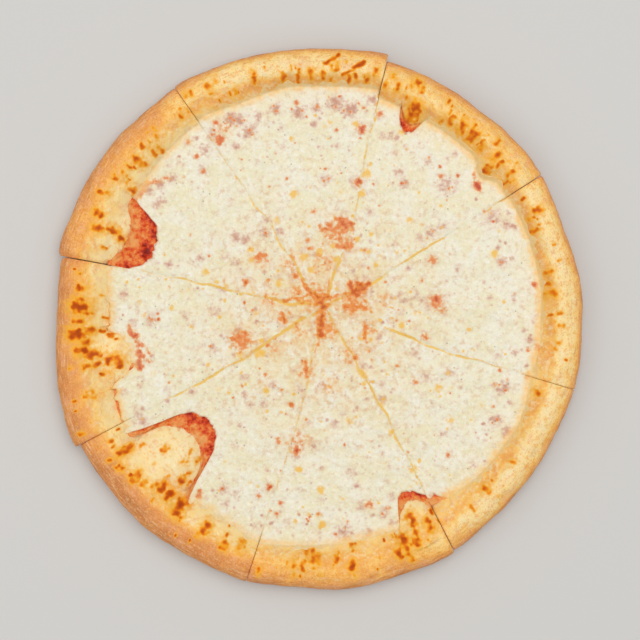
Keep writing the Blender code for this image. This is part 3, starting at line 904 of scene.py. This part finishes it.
# Distance from the hub at which each cut starts to stand open in the topping
CUT_OPENS = [147.0, 146.0, 155.0, 148.0, 160.0, 157.0, 155.0, 150.0]


def topping_gap(cut, distance):
    """Width of a cut in the topping, which ran together again except near the rim."""
    opens = CUT_OPENS[cut] * MM
    opening = ease(opens - 10.0 * MM, opens + 6.0 * MM, distance)
    return CLOSED_GAP + (cut_gap(cut, distance) - CLOSED_GAP) * opening


def make_sauce(index):
    piece, across, along = new_sheet(f"slice_{index + 1}_tomato_sauce", SAUCE_COLUMNS, SAUCE_ROWS)
    row = np.rint(along * SAUCE_ROWS)
    foot = by_column(foot_line, index, across, SAUCE_COLUMNS)
    edge_distance = distance_to(index, across, foot + SAUCE_UNDER_RIM)
    # A few rows for the covered middle, the rest close together in the outer band
    in_middle = np.minimum(row / SAUCE_MIDDLE_ROWS, 1.0)
    in_band = np.clip((row - SAUCE_MIDDLE_ROWS) / (SAUCE_ROWS - SAUCE_MIDDLE_ROWS), 0.0, 1.0)
    distance = (TIP_RADIUS + (edge_distance - SAUCE_DENSE - TIP_RADIUS) * in_middle
                + SAUCE_DENSE * in_band)
    x, y = slice_xy(index, across, distance, topping_gap)
    radius = np.hypot(x, y)
    bare = by_column(bare_width, index, across, SAUCE_COLUMNS)
    exposed = ease(1.5 * MM, 3.5 * MM, bare) * ease(-4.0 * MM, 0.0, radius - foot + bare)
    lumps = SAUCE_MEAN + ripples(x, y, SAUCE_LUMPS)
    z = SAUCE_LEVEL + np.maximum(lumps, 0.1) * MM * exposed
    # It is piled up a little against the foot of the rim
    z = z + SAUCE_PILED * exposed * ease(-2.0 * MM, 0.6 * MM, radius - foot)
    place_points(piece, x, y, z)
    # Thin and orange at the foot of the rim, thick and dark where it goes under the cheese
    over_ring = (radius - foot) / np.maximum(bare, 5.0 * MM)
    add_values(piece, "thin", ease(-0.75, 0.0, over_ring))
    return piece


# Cooked tomato: wet and shiny, deep red where it lies thick and orange where it is thin or
# where oil ran from the cheese, with paler pulp and dark dried herb in it.
tomato, tree = new_material("cooked_tomato_sauce")
ground = node(tree, "ShaderNodeTexCoord", output="Object")
thin = node(tree, "ShaderNodeAttribute", output="Fac", attribute_name="thin")
pulp, blotchy = [
    node(tree, "ShaderNodeTexNoise", {"Vector": ground, "Scale": 1.0 / (size * MM),
                                      "Detail": detail, "Roughness": rough})
    for size, detail, rough in ((2.4, 3.0, 0.65), (7.0, 2.0, 0.5))]
depth = pulp
for part, weight in ((blotchy, 1.5), (thin, 0.34)):
    depth = node(tree, "ShaderNodeMath", {0: part, 1: weight, 2: depth}, operation="MULTIPLY_ADD")
red = lay_over(tree, "7E1404", [(depth, low, high, 1.0, over) for low, high, over in (
    (0.93, 1.13, "B62A0A"), (1.13, 1.23, "D4481A"), (1.23, 1.35, "E2642A"),
    (1.35, 1.49, "E8863E"), (1.49, 1.73, "ECA660"))])
node(tree, "ShaderNodeOutputMaterial", {"Surface": node(tree, "ShaderNodeBsdfPrincipled", {
    "Base Color": red, "Roughness": 0.3, "Specular IOR Level": 0.15, "Coat Weight": 0.1,
    "Coat Roughness": 0.05,
    "Normal": node(tree, "ShaderNodeBump", {"Height": pulp, "Strength": 0.7,
                                            "Distance": 0.9 * MM}),
    "Subsurface Weight": 0.05, "Subsurface Radius": (1.0, 0.25, 0.1),
    "Subsurface Scale": 1.5 * MM})})


def close_topping(piece, bottom, within):
    """Walls all round down to a level underside."""
    drop_walls(piece, open_edges(piece)[1], bottom)
    merge_points(piece, within)
    cap(piece)


for index in range(SLICES):
    sauce = make_sauce(index)
    close_topping(sauce, BASE_THICK + LAYER_GAP, 0.02 * MM)
    sauce.data.materials.append(tomato)
    finish_piece(sauce, 60.0)
    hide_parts(f"slice_{index + 1}_sauce")
    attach(sauce, "root")


# The cheese: shredded mozzarella that melted into one sheet and set again. It creeps a little up
# the rim, and along the cuts it ran back together with yellow oil in the groove.
CHEESE_COLUMNS = 200
CHEESE_ROWS = 232
CHEESE_TIP = 0.15 * MM
CHEESE_BOTTOM = BASE_THICK + SAUCE_THICK + 2.0 * LAYER_GAP
CHEESE_WAVE = 17.0 * MM
CHEESE_WAVE_DEPTH = 0.9 * MM
CHEESE_THIN = 0.9 * MM
CHEESE_THIN_REACH = 7.0 * MM
EDGE_ROUND = 2.4 * MM
EDGE_TUCK = 0.5 * MM
FILM = 0.7 * MM
FILM_LUMPS = 0.25
# Size of the rounded corner between the sheet and the film on the slope
CORNER_ROUND = 0.9 * MM
GROOVE_WIDE = 1.3 * MM
GROOVE_DEEP = 0.35 * MM
CHEESE_LIP_DEEP = 0.6
# An eighth of a turn, in radians
SLICE_TURN = 0.785
# How far the edge goes up the slope in millimetres, and how much further beside bare sauce
CREEP = 0.7
CREEP_BARE = 2.9
# Unevenness of the edge, tongues that it sends up the slope, lumps of the sheet, and how the oil
# wanders beside a cut and comes and goes along it: sizes, seeds and heights in millimetres
EDGE_WOBBLE = [(9.0, 71, 1.3), (4.2, 72, 1.2), (2.2, 80, 0.5)]
EDGE_TONGUES = [(8.0, 77, 3.0)]
CHEESE_LUMPS = [(9.0, 73, 0.42), (4.2, 74, 0.17), (2.0, 75, 0.05)]
OIL_WANDER = [(16.0, 78, 1.5), (5.0, 79, 0.35)]
OIL_COMES = [(13.0, 76, 0.55)]
# Half width in millimetres of the line of oil, how much wider it is at the hub, and how far that
# and its red tint reach from there
OIL_WIDE = 0.85
OIL_WIDER = 0.9
OIL_WIDER_REACH = 28.0 * MM
OIL_RED_REACH = 16.0 * MM
OIL_MEAN = 0.75
# How far the pink along a bare ring, and the warm tint of the middle, reach
RING_PINK_REACH = 0.9 * MM
WARM_REACH = 75.0 * MM
# The film on the slope starts to turn golden this far inside its edge, and is golden after a run
GOLD_START = 7.5 * MM
GOLD_RUN = 7.0 * MM

# How strongly each cut shows in the cheese at these distances from the hub
CUT_SEEN_AT = [0.0, 30.0 * MM, 60.0 * MM, 95.0 * MM, 135.0 * MM, 160.0 * MM]
CUT_SEEN = [
    [1.0, 0.95, 0.65, 0.5, 0.6, 0.6],
    [1.0, 0.8, 0.5, 0.5, 0.7, 0.6],
    [1.0, 1.0, 0.6, 0.5, 0.4, 0.5],
    [1.0, 1.0, 0.7, 0.75, 0.3, 0.5],
    [0.8, 1.0, 1.0, 0.8, 0.1, 0.1],
    [0.6, 0.6, 0.4, 0.45, 0.3, 0.4],
    [0.5, 0.7, 0.9, 0.85, 0.55, 0.6],
    [0.1, 0.25, 0.9, 0.75, 0.45, 0.5],
]

# Orange to brown-red spots where sauce and oil cooked through
RED_SPOTS = [
    (345, 224, 8, 0.8), (330, 226, 5, 0.7), (320, 227, 4, 0.6), (331, 239, 5, 0.6),
    (348, 245, 6, 0.8), (359, 289, 9, 1.0), (352, 308, 9, 0.7), (322, 325, 6, 1.0),
    (322, 317, 5, 1.0), (321, 334, 5, 0.9), (282, 319, 5, 0.8), (259, 257, 6, 0.7),
    (246, 282, 5, 0.7), (306, 369, 4, 0.8), (355, 357, 5, 0.7), (398, 366, 3, 0.7),
    (242, 342, 8, 0.6), (234, 339, 7, 0.6), (220, 140, 6, 0.8), (215, 122, 5, 0.6),
    (197, 156, 4, 0.6), (203, 171, 3, 0.6), (190, 142, 4, 0.6), (362, 129, 5, 0.9),
    (380, 114, 4, 0.7), (364, 108, 3, 0.6), (358, 182, 5, 0.9), (441, 176, 3, 0.7),
    (295, 276, 4, 0.9), (314, 211, 4, 0.5), (432, 260, 5, 0.7), (422, 280, 3, 0.6),
    (436, 301, 7, 0.9), (443, 310, 4, 0.6), (425, 337, 5, 0.6), (416, 381, 4, 0.6),
    (291, 405, 4, 0.7), (296, 450, 6, 0.85), (279, 440, 6, 0.4), (270, 487, 4, 0.9),
    (259, 496, 3, 0.7), (281, 502, 3, 0.7), (277, 514, 3, 0.7), (369, 505, 6, 0.6),
    (297, 103, 3, 0.7), (448, 455, 3, 0.7), (529, 377, 4, 0.9), (538, 347, 4, 0.9),
    (535, 285, 4, 0.8), (477, 185, 4, 0.9), (322, 300, 6, 0.9), (316, 296, 5, 0.8),
    (327, 296, 5, 0.6), (310, 305, 5, 0.5), (266, 296, 4, 0.5), (289, 314, 4, 0.5),
    (330, 262, 3, 0.6), (318, 272, 3, 0.5), (268, 281, 4, 0.5), (365, 303, 5, 0.5),
    (368, 350, 4, 0.5), (287, 442, 4, 0.4), (152, 319, 4, 0.4), (528, 350, 3, 0.6),
]
# Pale pink patches where sauce shows faintly through
PINK_SPOTS = [
    (231, 119, 8, 0.9), (249, 132, 8, 0.9), (276, 109, 7, 0.8), (298, 113, 8, 0.8),
    (336, 103, 9, 0.9), (350, 110, 9, 0.9), (326, 179, 7, 0.6), (236, 237, 6, 0.8),
    (245, 239, 6, 0.8), (265, 233, 7, 0.7), (267, 220, 6, 0.6), (399, 172, 6, 0.7),
    (446, 185, 12, 0.6), (404, 183, 7, 0.7), (430, 233, 7, 0.7), (441, 228, 6, 0.6),
    (420, 238, 6, 0.6), (391, 136, 5, 0.7), (493, 218, 12, 0.6), (404, 300, 5, 0.7),
    (422, 301, 5, 0.7), (415, 352, 6, 0.6), (425, 376, 6, 0.6), (450, 372, 6, 0.6),
    (442, 434, 5, 0.6), (503, 386, 7, 0.7), (494, 420, 7, 0.7), (508, 432, 8, 0.8),
    (152, 319, 8, 0.7), (185, 316, 6, 0.6), (216, 311, 6, 0.6), (192, 392, 5, 0.6),
    (169, 264, 5, 0.7), (200, 258, 5, 0.7), (300, 389, 6, 0.6), (273, 385, 5, 0.6),
    (262, 405, 5, 0.6), (245, 395, 5, 0.6), (244, 377, 5, 0.6), (300, 435, 6, 0.6),
    (314, 445, 6, 0.6), (350, 471, 6, 0.6), (344, 532, 10, 0.7), (369, 533, 6, 0.7),
    (148, 190, 6, 0.9), (160, 184, 6, 0.9), (172, 179, 6, 0.8), (240, 120, 7, 0.8),
    (258, 117, 6, 0.7), (316, 108, 7, 0.7), (372, 100, 6, 0.8), (205, 150, 6, 0.7),
    (212, 135, 7, 0.7), (360, 300, 12, 0.5), (340, 232, 12, 0.5), (326, 320, 10, 0.5),
]
# Pools of yellow oil
OIL_SPOTS = [
    (320, 252, 4, 0.9), (304, 257, 4, 0.9), (337, 259, 4, 0.9), (362, 373, 4, 0.9),
    (365, 335, 4, 0.8), (260, 353, 5, 0.9), (438, 388, 4, 0.8), (266, 391, 4, 0.8),
    (299, 469, 4, 0.9), (321, 490, 4, 0.9), (322, 525, 5, 0.7), (294, 194, 5, 0.8),
    (366, 174, 5, 0.8), (362, 193, 4, 0.8), (333, 246, 3, 0.8), (240, 356, 5, 0.6),
    (280, 283, 5, 0.6), (300, 300, 6, 0.5), (376, 266, 4, 0.6), (410, 220, 4, 0.6),
    (450, 420, 5, 0.5), (393, 432, 5, 0.6), (414, 470, 5, 0.6), (350, 420, 5, 0.5),
]
RED_SPOTS += scattered(60, 61, 4, 90, 1.2, 3.6, 0.35, 0.8)
RED_SPOTS += scattered(90, 62, 70, 205, 1.0, 2.8, 0.3, 0.75)
PINK_SPOTS += scattered(130, 63, 4, 110, 2.0, 6.0, 0.3, 0.8)
PINK_SPOTS += scattered(230, 64, 90, 200, 1.5, 5.5, 0.25, 0.7)
PINK_SPOTS += scattered(190, 70, 190, 220, 2.0, 7.0, 0.35, 0.8)
OIL_SPOTS += scattered(60, 65, 4, 110, 1.5, 4.5, 0.4, 0.8)
OIL_SPOTS += scattered(130, 66, 90, 205, 1.5, 4.5, 0.3, 0.7)
# Oil and sauce drawn out along the cuts round the hub
RED_STREAKS = [
    (284, 301, 298, 298, 2.8, 0.60), (262, 297, 282, 300, 1.6, 0.35),
    (298, 299, 312, 294, 2.6, 0.65), (305, 286, 310, 292, 3.0, 0.75),
    (302, 280, 305, 286, 2.2, 0.60), (288, 256, 303, 282, 1.3, 0.35),
    (313, 297, 331, 297, 3.6, 0.70), (333, 297, 346, 293, 2.2, 0.55),
    (331, 262, 328, 292, 1.3, 0.40), (321, 302, 323, 308, 4.4, 1.00),
    (322, 310, 322, 318, 4.0, 0.75), (321, 320, 321, 334, 5.6, 0.95),
    (320, 336, 317, 346, 2.6, 0.55), (306, 362, 306, 376, 2.6, 0.80),
    (317, 346, 308, 372, 1.2, 0.35),
    (350, 284, 356, 296, 3.6, 1.00), (356, 296, 368, 284, 3.4, 0.95),
    (132, 332, 135, 336, 4.2, 0.75), (137, 341, 138, 344, 4.4, 0.55),
    (142, 343, 143, 346, 3.0, 0.45), (139, 352, 141, 356, 4.6, 0.75),
    (138, 363, 140, 366, 4.4, 0.90), (147, 350, 149, 352, 3.6, 0.45),
    (148, 360, 149, 362, 3.4, 0.55), (129, 326, 130, 328, 2.6, 0.50),
    (200, 492, 198, 497, 3.4, 0.60), (131, 202, 135, 197, 3.4, 0.80),
    (139, 195, 142, 190, 3.6, 0.85), (144, 186, 147, 184, 4.2, 0.75),
    (152, 183, 157, 181, 3.4, 0.50), (164, 180, 168, 178, 3.6, 0.45),
    (477, 184, 478, 188, 4.0, 1.00),
    (474, 174, 475, 178, 2.6, 0.60), (420, 500, 448, 499, 2.2, 0.60),
    (322, 230, 340, 228, 3.2, 0.65), (338, 220, 351, 224, 4.6, 0.75),
    (338, 246, 351, 246, 3.6, 0.75), (345, 306, 366, 308, 5.0, 0.60),
    (366, 326, 365, 338, 2.8, 0.65), (236, 340, 246, 334, 4.6, 0.65),
    (255, 259, 266, 255, 2.6, 0.60), (282, 314, 285, 322, 2.6, 0.90),
]
# Orange warmth round the hub and specks of sauce inside the larger pink patches
WARM_SPOTS = [
    (316, 298, 15, 0.55), (298, 292, 9, 0.45), (352, 302, 15, 0.5), (327, 330, 11, 0.5),
    (338, 232, 15, 0.5), (243, 341, 13, 0.5), (322, 262, 14, 0.35), (290, 262, 12, 0.35),
    (300, 330, 12, 0.35), (368, 330, 11, 0.4), (270, 300, 12, 0.35), (300, 440, 12, 0.35),
    (306, 372, 10, 0.4), (436, 303, 9, 0.45), (225, 130, 10, 0.35), (262, 260, 9, 0.4),
    (350, 355, 12, 0.35), (330, 385, 10, 0.3), (275, 350, 10, 0.3), (385, 300, 12, 0.3),
]
draw_speck = np.random.default_rng(69)
for x, y, size, _ in PINK_SPOTS:
    if size > 6.5:
        for _ in range(3):
            RED_SPOTS.append((x + draw_speck.normal() * size * 0.5,
                              y + draw_speck.normal() * size * 0.5,
                              1.3 + draw_speck.random(), 0.5 + 0.4 * draw_speck.random()))
RED_LINES = as_strokes(RED_SPOTS, 0.85) + as_strokes(WARM_SPOTS, 1.1) + RED_STREAKS
PINK_LINES = as_strokes(PINK_SPOTS) + as_strokes(RED_SPOTS, 1.7, 0.7)
OIL_LINES = as_strokes(OIL_SPOTS)
# How golden the film of cheese is on each slice's slope
SLOPE_GOLD = [1.0, 0.9, 0.7, 0.7, 0.6, 0.7, 0.9, 1.1]


def make_cheese(index):
    piece, across, along = new_sheet(f"slice_{index + 1}_mozzarella", CHEESE_COLUMNS, CHEESE_ROWS)
    foot = by_column(foot_line, index, across, CHEESE_COLUMNS)
    reach = by_column(reach_radius, index, across, CHEESE_COLUMNS)
    lead = by_column(foot_lead, index, across, CHEESE_COLUMNS)
    solid_edge = by_column(shown_line, index, across, CHEESE_COLUMNS)
    bare = foot - solid_edge
    covered = 1.0 - ease(1.0 * MM, 3.5 * MM, bare)
    arc = (index + across) * SLICE_TURN * MEAN_RADIUS
    wobble = ripples(arc, arc * 0.0, EDGE_WOBBLE)
    tongues = np.maximum(ripples(arc, arc * 0.0 + 0.5, EDGE_TONGUES), 0.0)
    late = ease(1.0 * MM, 3.5 * MM, by_column(bare_width, index, across, CHEESE_COLUMNS))
    edge = solid_edge + ((CREEP + CREEP_BARE * late + tongues) * covered
                         + wobble * (1.0 - 0.7 * covered)) * MM
    edge_distance = distance_to(index, across, edge)
    share = along + 0.35 * along * (1.0 - along)
    distance = CHEESE_TIP + (edge_distance - CHEESE_TIP) * share
    x, y = slice_xy(index, across, distance, topping_gap)
    radius = np.hypot(x, y)
    to_cut = to_cuts(index, x, y, distance, topping_gap)

    # The level sheet with its lumps, and the groove of the cut
    level = CHEESE_BOTTOM + CHEESE_THICK + slow_wave(x, y, CHEESE_WAVE) * CHEESE_WAVE_DEPTH
    level = level - CHEESE_THIN * np.exp(-np.maximum(solid_edge - radius, 0.0) / CHEESE_THIN_REACH)
    lumps = ripples(x, y, CHEESE_LUMPS)
    cut = nearest_cut(index, across)
    seen_left = np.interp(distance, CUT_SEEN_AT, CUT_SEEN[index])
    seen_right = np.interp(distance, CUT_SEEN_AT, CUT_SEEN[(index + 1) % SLICES])
    seen = np.where(across < 0.5, seen_left, seen_right)
    groove = seen * np.exp(-(to_cut / GROOVE_WIDE) ** 2)
    level = level + lumps * MM - groove * GROOVE_DEEP

    # A film on the slope of the rim, and a rounded edge that tucks under what it lies on
    slope = crust_top(index, x, y, foot, reach, lead, to_cut)
    under = np.maximum(slope, SAUCE_LEVEL)
    over = slope + FILM + lumps * FILM_LUMPS * MM
    top = 0.5 * (level + over + np.hypot(level - over, CORNER_ROUND))
    inside = np.clip((edge - radius) / EDGE_ROUND, 0.0, 1.0)
    rounded = np.sqrt(1.0 - (1.0 - inside) ** 2)
    top = under + (top - under) * rounded - EDGE_TUCK * (1.0 - rounded)
    lip_round = LIP_ROUND[cut]
    lip = 1.0 - np.sqrt(1.0 - (1.0 - np.clip(to_cut / lip_round, 0.0, 1.0)) ** 2)
    open_cut = ease(-12.0 * MM, 0.0, radius - foot)
    place_points(piece, x, y, top - lip * open_cut * CHEESE_LIP_DEEP * lip_round)

    # Stains that the material reads: pink, orange and oil
    pink = strokes(x, y, PINK_LINES)
    red_spots = strokes(x, y, RED_LINES)
    oil = strokes(x, y, OIL_LINES)
    # The oil wanders a little to either side of the cut, and comes and goes along it
    side = np.where(across < 0.5, 1.0, -1.0)
    wander = ripples(distance, cut * 0.1, OIL_WANDER) * MM
    along_cut = OIL_MEAN + ripples(distance, cut * 0.1 + 0.05, OIL_COMES)
    width = (OIL_WIDE + OIL_WIDER * np.exp(-distance / OIL_WIDER_REACH)) * MM
    oil_line = seen * along_cut * np.exp(-((side * to_cut - wander) / width) ** 2)
    red_line = oil_line * np.exp(-distance / OIL_RED_REACH) * 0.9
    by_ring = np.exp(-np.maximum(edge - radius, 0.0) / RING_PINK_REACH)
    pink = np.maximum(pink, ease(1.5 * MM, 3.5 * MM, bare) * by_ring * 0.7)
    stain = np.stack([pink, np.maximum(red_spots, red_line), np.maximum(oil, oil_line),
                      np.ones_like(x)], axis=1)
    stains = piece.data.attributes.new("stain", "FLOAT_COLOR", "POINT")
    stains.data.foreach_set("color", stain.ravel())
    add_values(piece, "warm", np.exp(-(np.hypot(x, y) / WARM_REACH) ** 2))
    golden = np.clip((radius - edge + GOLD_START) / GOLD_RUN, 0.0, 1.0)
    add_values(piece, "on_slope", golden * covered * SLOPE_GOLD[index])
    return piece


# Melted mozzarella: dense, milky and a little waxy with oil, so light goes in and it shines
# softly. Cream to pale yellow, with pink, orange and yellow stains and specks of dried herb.
mozzarella, tree = new_material("melted_mozzarella")
ground = node(tree, "ShaderNodeTexCoord", output="Object")
stained = node(tree, "ShaderNodeAttribute", output="Color", attribute_name="stain")
pink, orange, oily = [node(tree, "ShaderNodeSeparateColor", {"Color": stained}, output=channel)
                      for channel in ("Red", "Green", "Blue")]
warm, on_slope = [node(tree, "ShaderNodeAttribute", output="Fac", attribute_name=label)
                  for label in ("warm", "on_slope")]
fine, small, wide, blotchy, cloudy, lumps_shade_and_shine = [
    node(tree, "ShaderNodeTexNoise", {"Vector": ground, "Scale": 1.0 / (size * MM),
                                      "Detail": detail, "Roughness": rough})
    for size, detail, rough in ((1.3, 2.0, 0.6), (3.2, 3.0, 0.6), (14.0, 2.0, 0.5),
                                (3.6, 3.0, 0.65), (8.0, 3.0, 0.6), (2.3, 3.0, 0.65))]
# Faint blotches 2 to 3 mm wide, more and warmer ones towards the middle
faint = node(tree, "ShaderNodeMath", {0: warm, 1: 0.11, 2: blotchy}, operation="MULTIPLY_ADD")
warm_most = node(tree, "ShaderNodeMath", {0: warm, 1: 0.6}, operation="MULTIPLY")
faint_tint, mid_red, deep_red = [
    node(tree, "ShaderNodeMix", {"Factor": warm, "A": far, "B": near}, data_type="RGBA")
    for far, near in (("DCC0A4", "E2B27A"), ("E07A48", "EA8A20"), ("BC3A18", "CA5604"))]
# Each stain has a frayed edge: the soft spots of the mesh are broken up a little by noise
uneven = node(tree, "ShaderNodeMath", {0: small, 1: 1.5, 2: -0.95}, operation="MULTIPLY_ADD")
uneven = node(tree, "ShaderNodeMath", {0: fine, 1: 0.4, 2: uneven}, operation="MULTIPLY_ADD")
frayed = []
for value in (pink, oily, orange):
    part = node(tree, "ShaderNodeMapRange", {"Value": value, "From Max": 0.4},
                interpolation_type="SMOOTHSTEP")
    frayed.append(node(tree, "ShaderNodeMath", {0: uneven, 1: part, 2: value},
                       operation="MULTIPLY_ADD"))
pink, oily, orange = frayed
# Specks of dried herb half a millimetre wide, one to every few square centimetres
herb, herb_kind = [
    node(tree, "ShaderNodeTexVoronoi", {"Vector": ground, "Scale": 1.0 / (4.5 * MM)}, output=kind)
    for kind in ("Distance", "Color")]
herb_kind = node(tree, "ShaderNodeSeparateColor", {"Color": herb_kind}, output="Red")
herb_most = node(tree, "ShaderNodeMapRange", {"Value": herb_kind, "From Min": 0.859,
                                              "From Max": 0.861, "To Max": 0.5})
# The film on the slope turned golden, more so in patches
gold = node(tree, "ShaderNodeMath", {0: on_slope, 1: 0.6}, operation="SUBTRACT")
gold = node(tree, "ShaderNodeMath", {0: small, 1: 1.2, 2: gold}, operation="MULTIPLY_ADD")
gold_most = node(tree, "ShaderNodeMapRange", {"Value": on_slope, "From Max": 0.4, "To Max": 0.95})
gold_tint = node(tree, "ShaderNodeMix", {"Factor": small, "A": "F5E0A8", "B": "EEB760"},
                 data_type="RGBA")
# The two layers on the lumps' noise are painted light: greyer patches are painted shade and whiter
# ones painted highlights
milk = lay_over(tree, "EBE4C2", [
    (wide, 0.38, 0.62, 1.0, "EDE9D4"), (small, 0.50, 0.70, 0.6, "F4F1E6"),
    (lumps_shade_and_shine, 0.48, 0.30, 0.45, "D8D2B2"), (lumps_shade_and_shine, 0.54, 0.70, 0.5, "FBFAF4"),
    (faint, 0.51, 0.76, 0.75, faint_tint), (cloudy, 0.35, 0.65, warm_most, "EBCF94"),
    (pink, 0.08, 0.60, 0.50, "DAB09A"), (pink, 0.35, 0.95, 0.75, "C08068"),
    (oily, 0.10, 0.65, 0.85, "F0BC3A"), (orange, 0.05, 0.45, 0.60, "EAB468"),
    (orange, 0.24, 0.62, 0.90, mid_red), (orange, 0.62, 1.00, 0.85, deep_red),
    (herb, 0.16, 0.08, herb_most, "6A5530"), (gold, -0.2, 0.9, gold_most, gold_tint),
], interpolation_type="SMOOTHSTEP")
relief = node(tree, "ShaderNodeMath", {0: small, 1: 1.8, 2: lumps_shade_and_shine}, operation="MULTIPLY_ADD")
node(tree, "ShaderNodeOutputMaterial", {"Surface": node(tree, "ShaderNodeBsdfPrincipled", {
    "Base Color": milk,
    "Roughness": node(tree, "ShaderNodeMapRange", {"Value": small, "From Min": 0.35,
                                                   "From Max": 0.65, "To Min": 0.26,
                                                   "To Max": 0.42}),
    "Specular IOR Level": 0.3, "Coat Weight": 0.05, "Coat Roughness": 0.12,
    "Normal": node(tree, "ShaderNodeBump", {"Height": relief, "Strength": 0.55,
                                            "Distance": 0.4 * MM}),
    "Subsurface Weight": 0.25, "Subsurface Radius": (1.0, 0.8, 0.5),
    "Subsurface Scale": 1.2 * MM})})

for index in range(SLICES):
    cheese = make_cheese(index)
    close_topping(cheese, BASE_THICK + SAUCE_THICK, 0.01 * MM)
    cheese.data.materials.append(mozzarella)
    finish_piece(cheese, 60.0)
    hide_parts(f"slice_{index + 1}_cheese")
    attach(cheese, "root")


# The studio: a plain pale floor, a large soft light from the upper right, a weaker one from the
# left and an even pale surround.
deselect_all()
bpy.ops.mesh.primitive_plane_add(size=6.0, location=(0.0, 0.0, -0.0005))
floor = bpy.context.object
floor.name = "studio_floor"
bpy.ops.object.transform_apply(location=True)
paper, tree = new_material("matt_studio_paper")
node(tree, "ShaderNodeOutputMaterial", {"Surface": node(tree, "ShaderNodeBsdfPrincipled", {
    "Base Color": "D3D2CF", "Roughness": 0.9})})
floor.data.materials.append(paper)


def aim(thing, target):
    way_there = Vector(target) - thing.location
    thing.rotation_euler = way_there.to_track_quat("-Z", "Y").to_euler()


def soft_light(name, place, size, power, tint):
    light = bpy.data.lights.new(name, "AREA")
    light.shape = "DISK"
    light.size = size
    light.energy = power
    light.color = colour(tint)[:3]
    lamp = bpy.data.objects.new(name, light)
    bpy.context.scene.collection.objects.link(lamp)
    lamp.location = place
    aim(lamp, (0.0, 0.0, 0.0))


soft_light("key_light", (0.30, 0.36, 1.8), 1.7, 16.6, "FFFCF8")
soft_light("fill_light", (-1.0, -0.2, 1.0), 1.4, 3.2, "FFF8F0")
world = bpy.data.worlds.new("pale_surround")
bpy.context.scene.world = world
world.use_nodes = True
world.node_tree.nodes["Background"].inputs["Color"].default_value = colour("F2F3F5")
world.node_tree.nodes["Background"].inputs["Strength"].default_value = 0.58

# The camera looks straight down. Its height is from the level of the outline's widest place.
CAMERA_HEIGHT = 1.1
SENSOR = 36.0
PICTURE = 640.0
camera = bpy.data.cameras.new("camera")
camera.sensor_width = SENSOR
camera.lens = SENSOR * CAMERA_HEIGHT / (PICTURE * PIXEL)
camera.clip_end = 20.0
viewer = bpy.data.objects.new("camera", camera)
bpy.context.scene.collection.objects.link(viewer)
centre_x = SHIFT_X + (0.5 * PICTURE - MIDDLE_PIXEL[0]) * PIXEL
centre_y = SHIFT_Y + (MIDDLE_PIXEL[1] - 0.5 * PICTURE) * PIXEL
viewer.location = (centre_x, centre_y, BULGE_HEIGHT + CAMERA_HEIGHT)
bpy.context.scene.camera = viewer
# Colours are shown as they are, so the sRGB values of the materials are those of the real food
bpy.context.scene.view_settings.view_transform = "Standard"

bpy.context.view_layer.update()
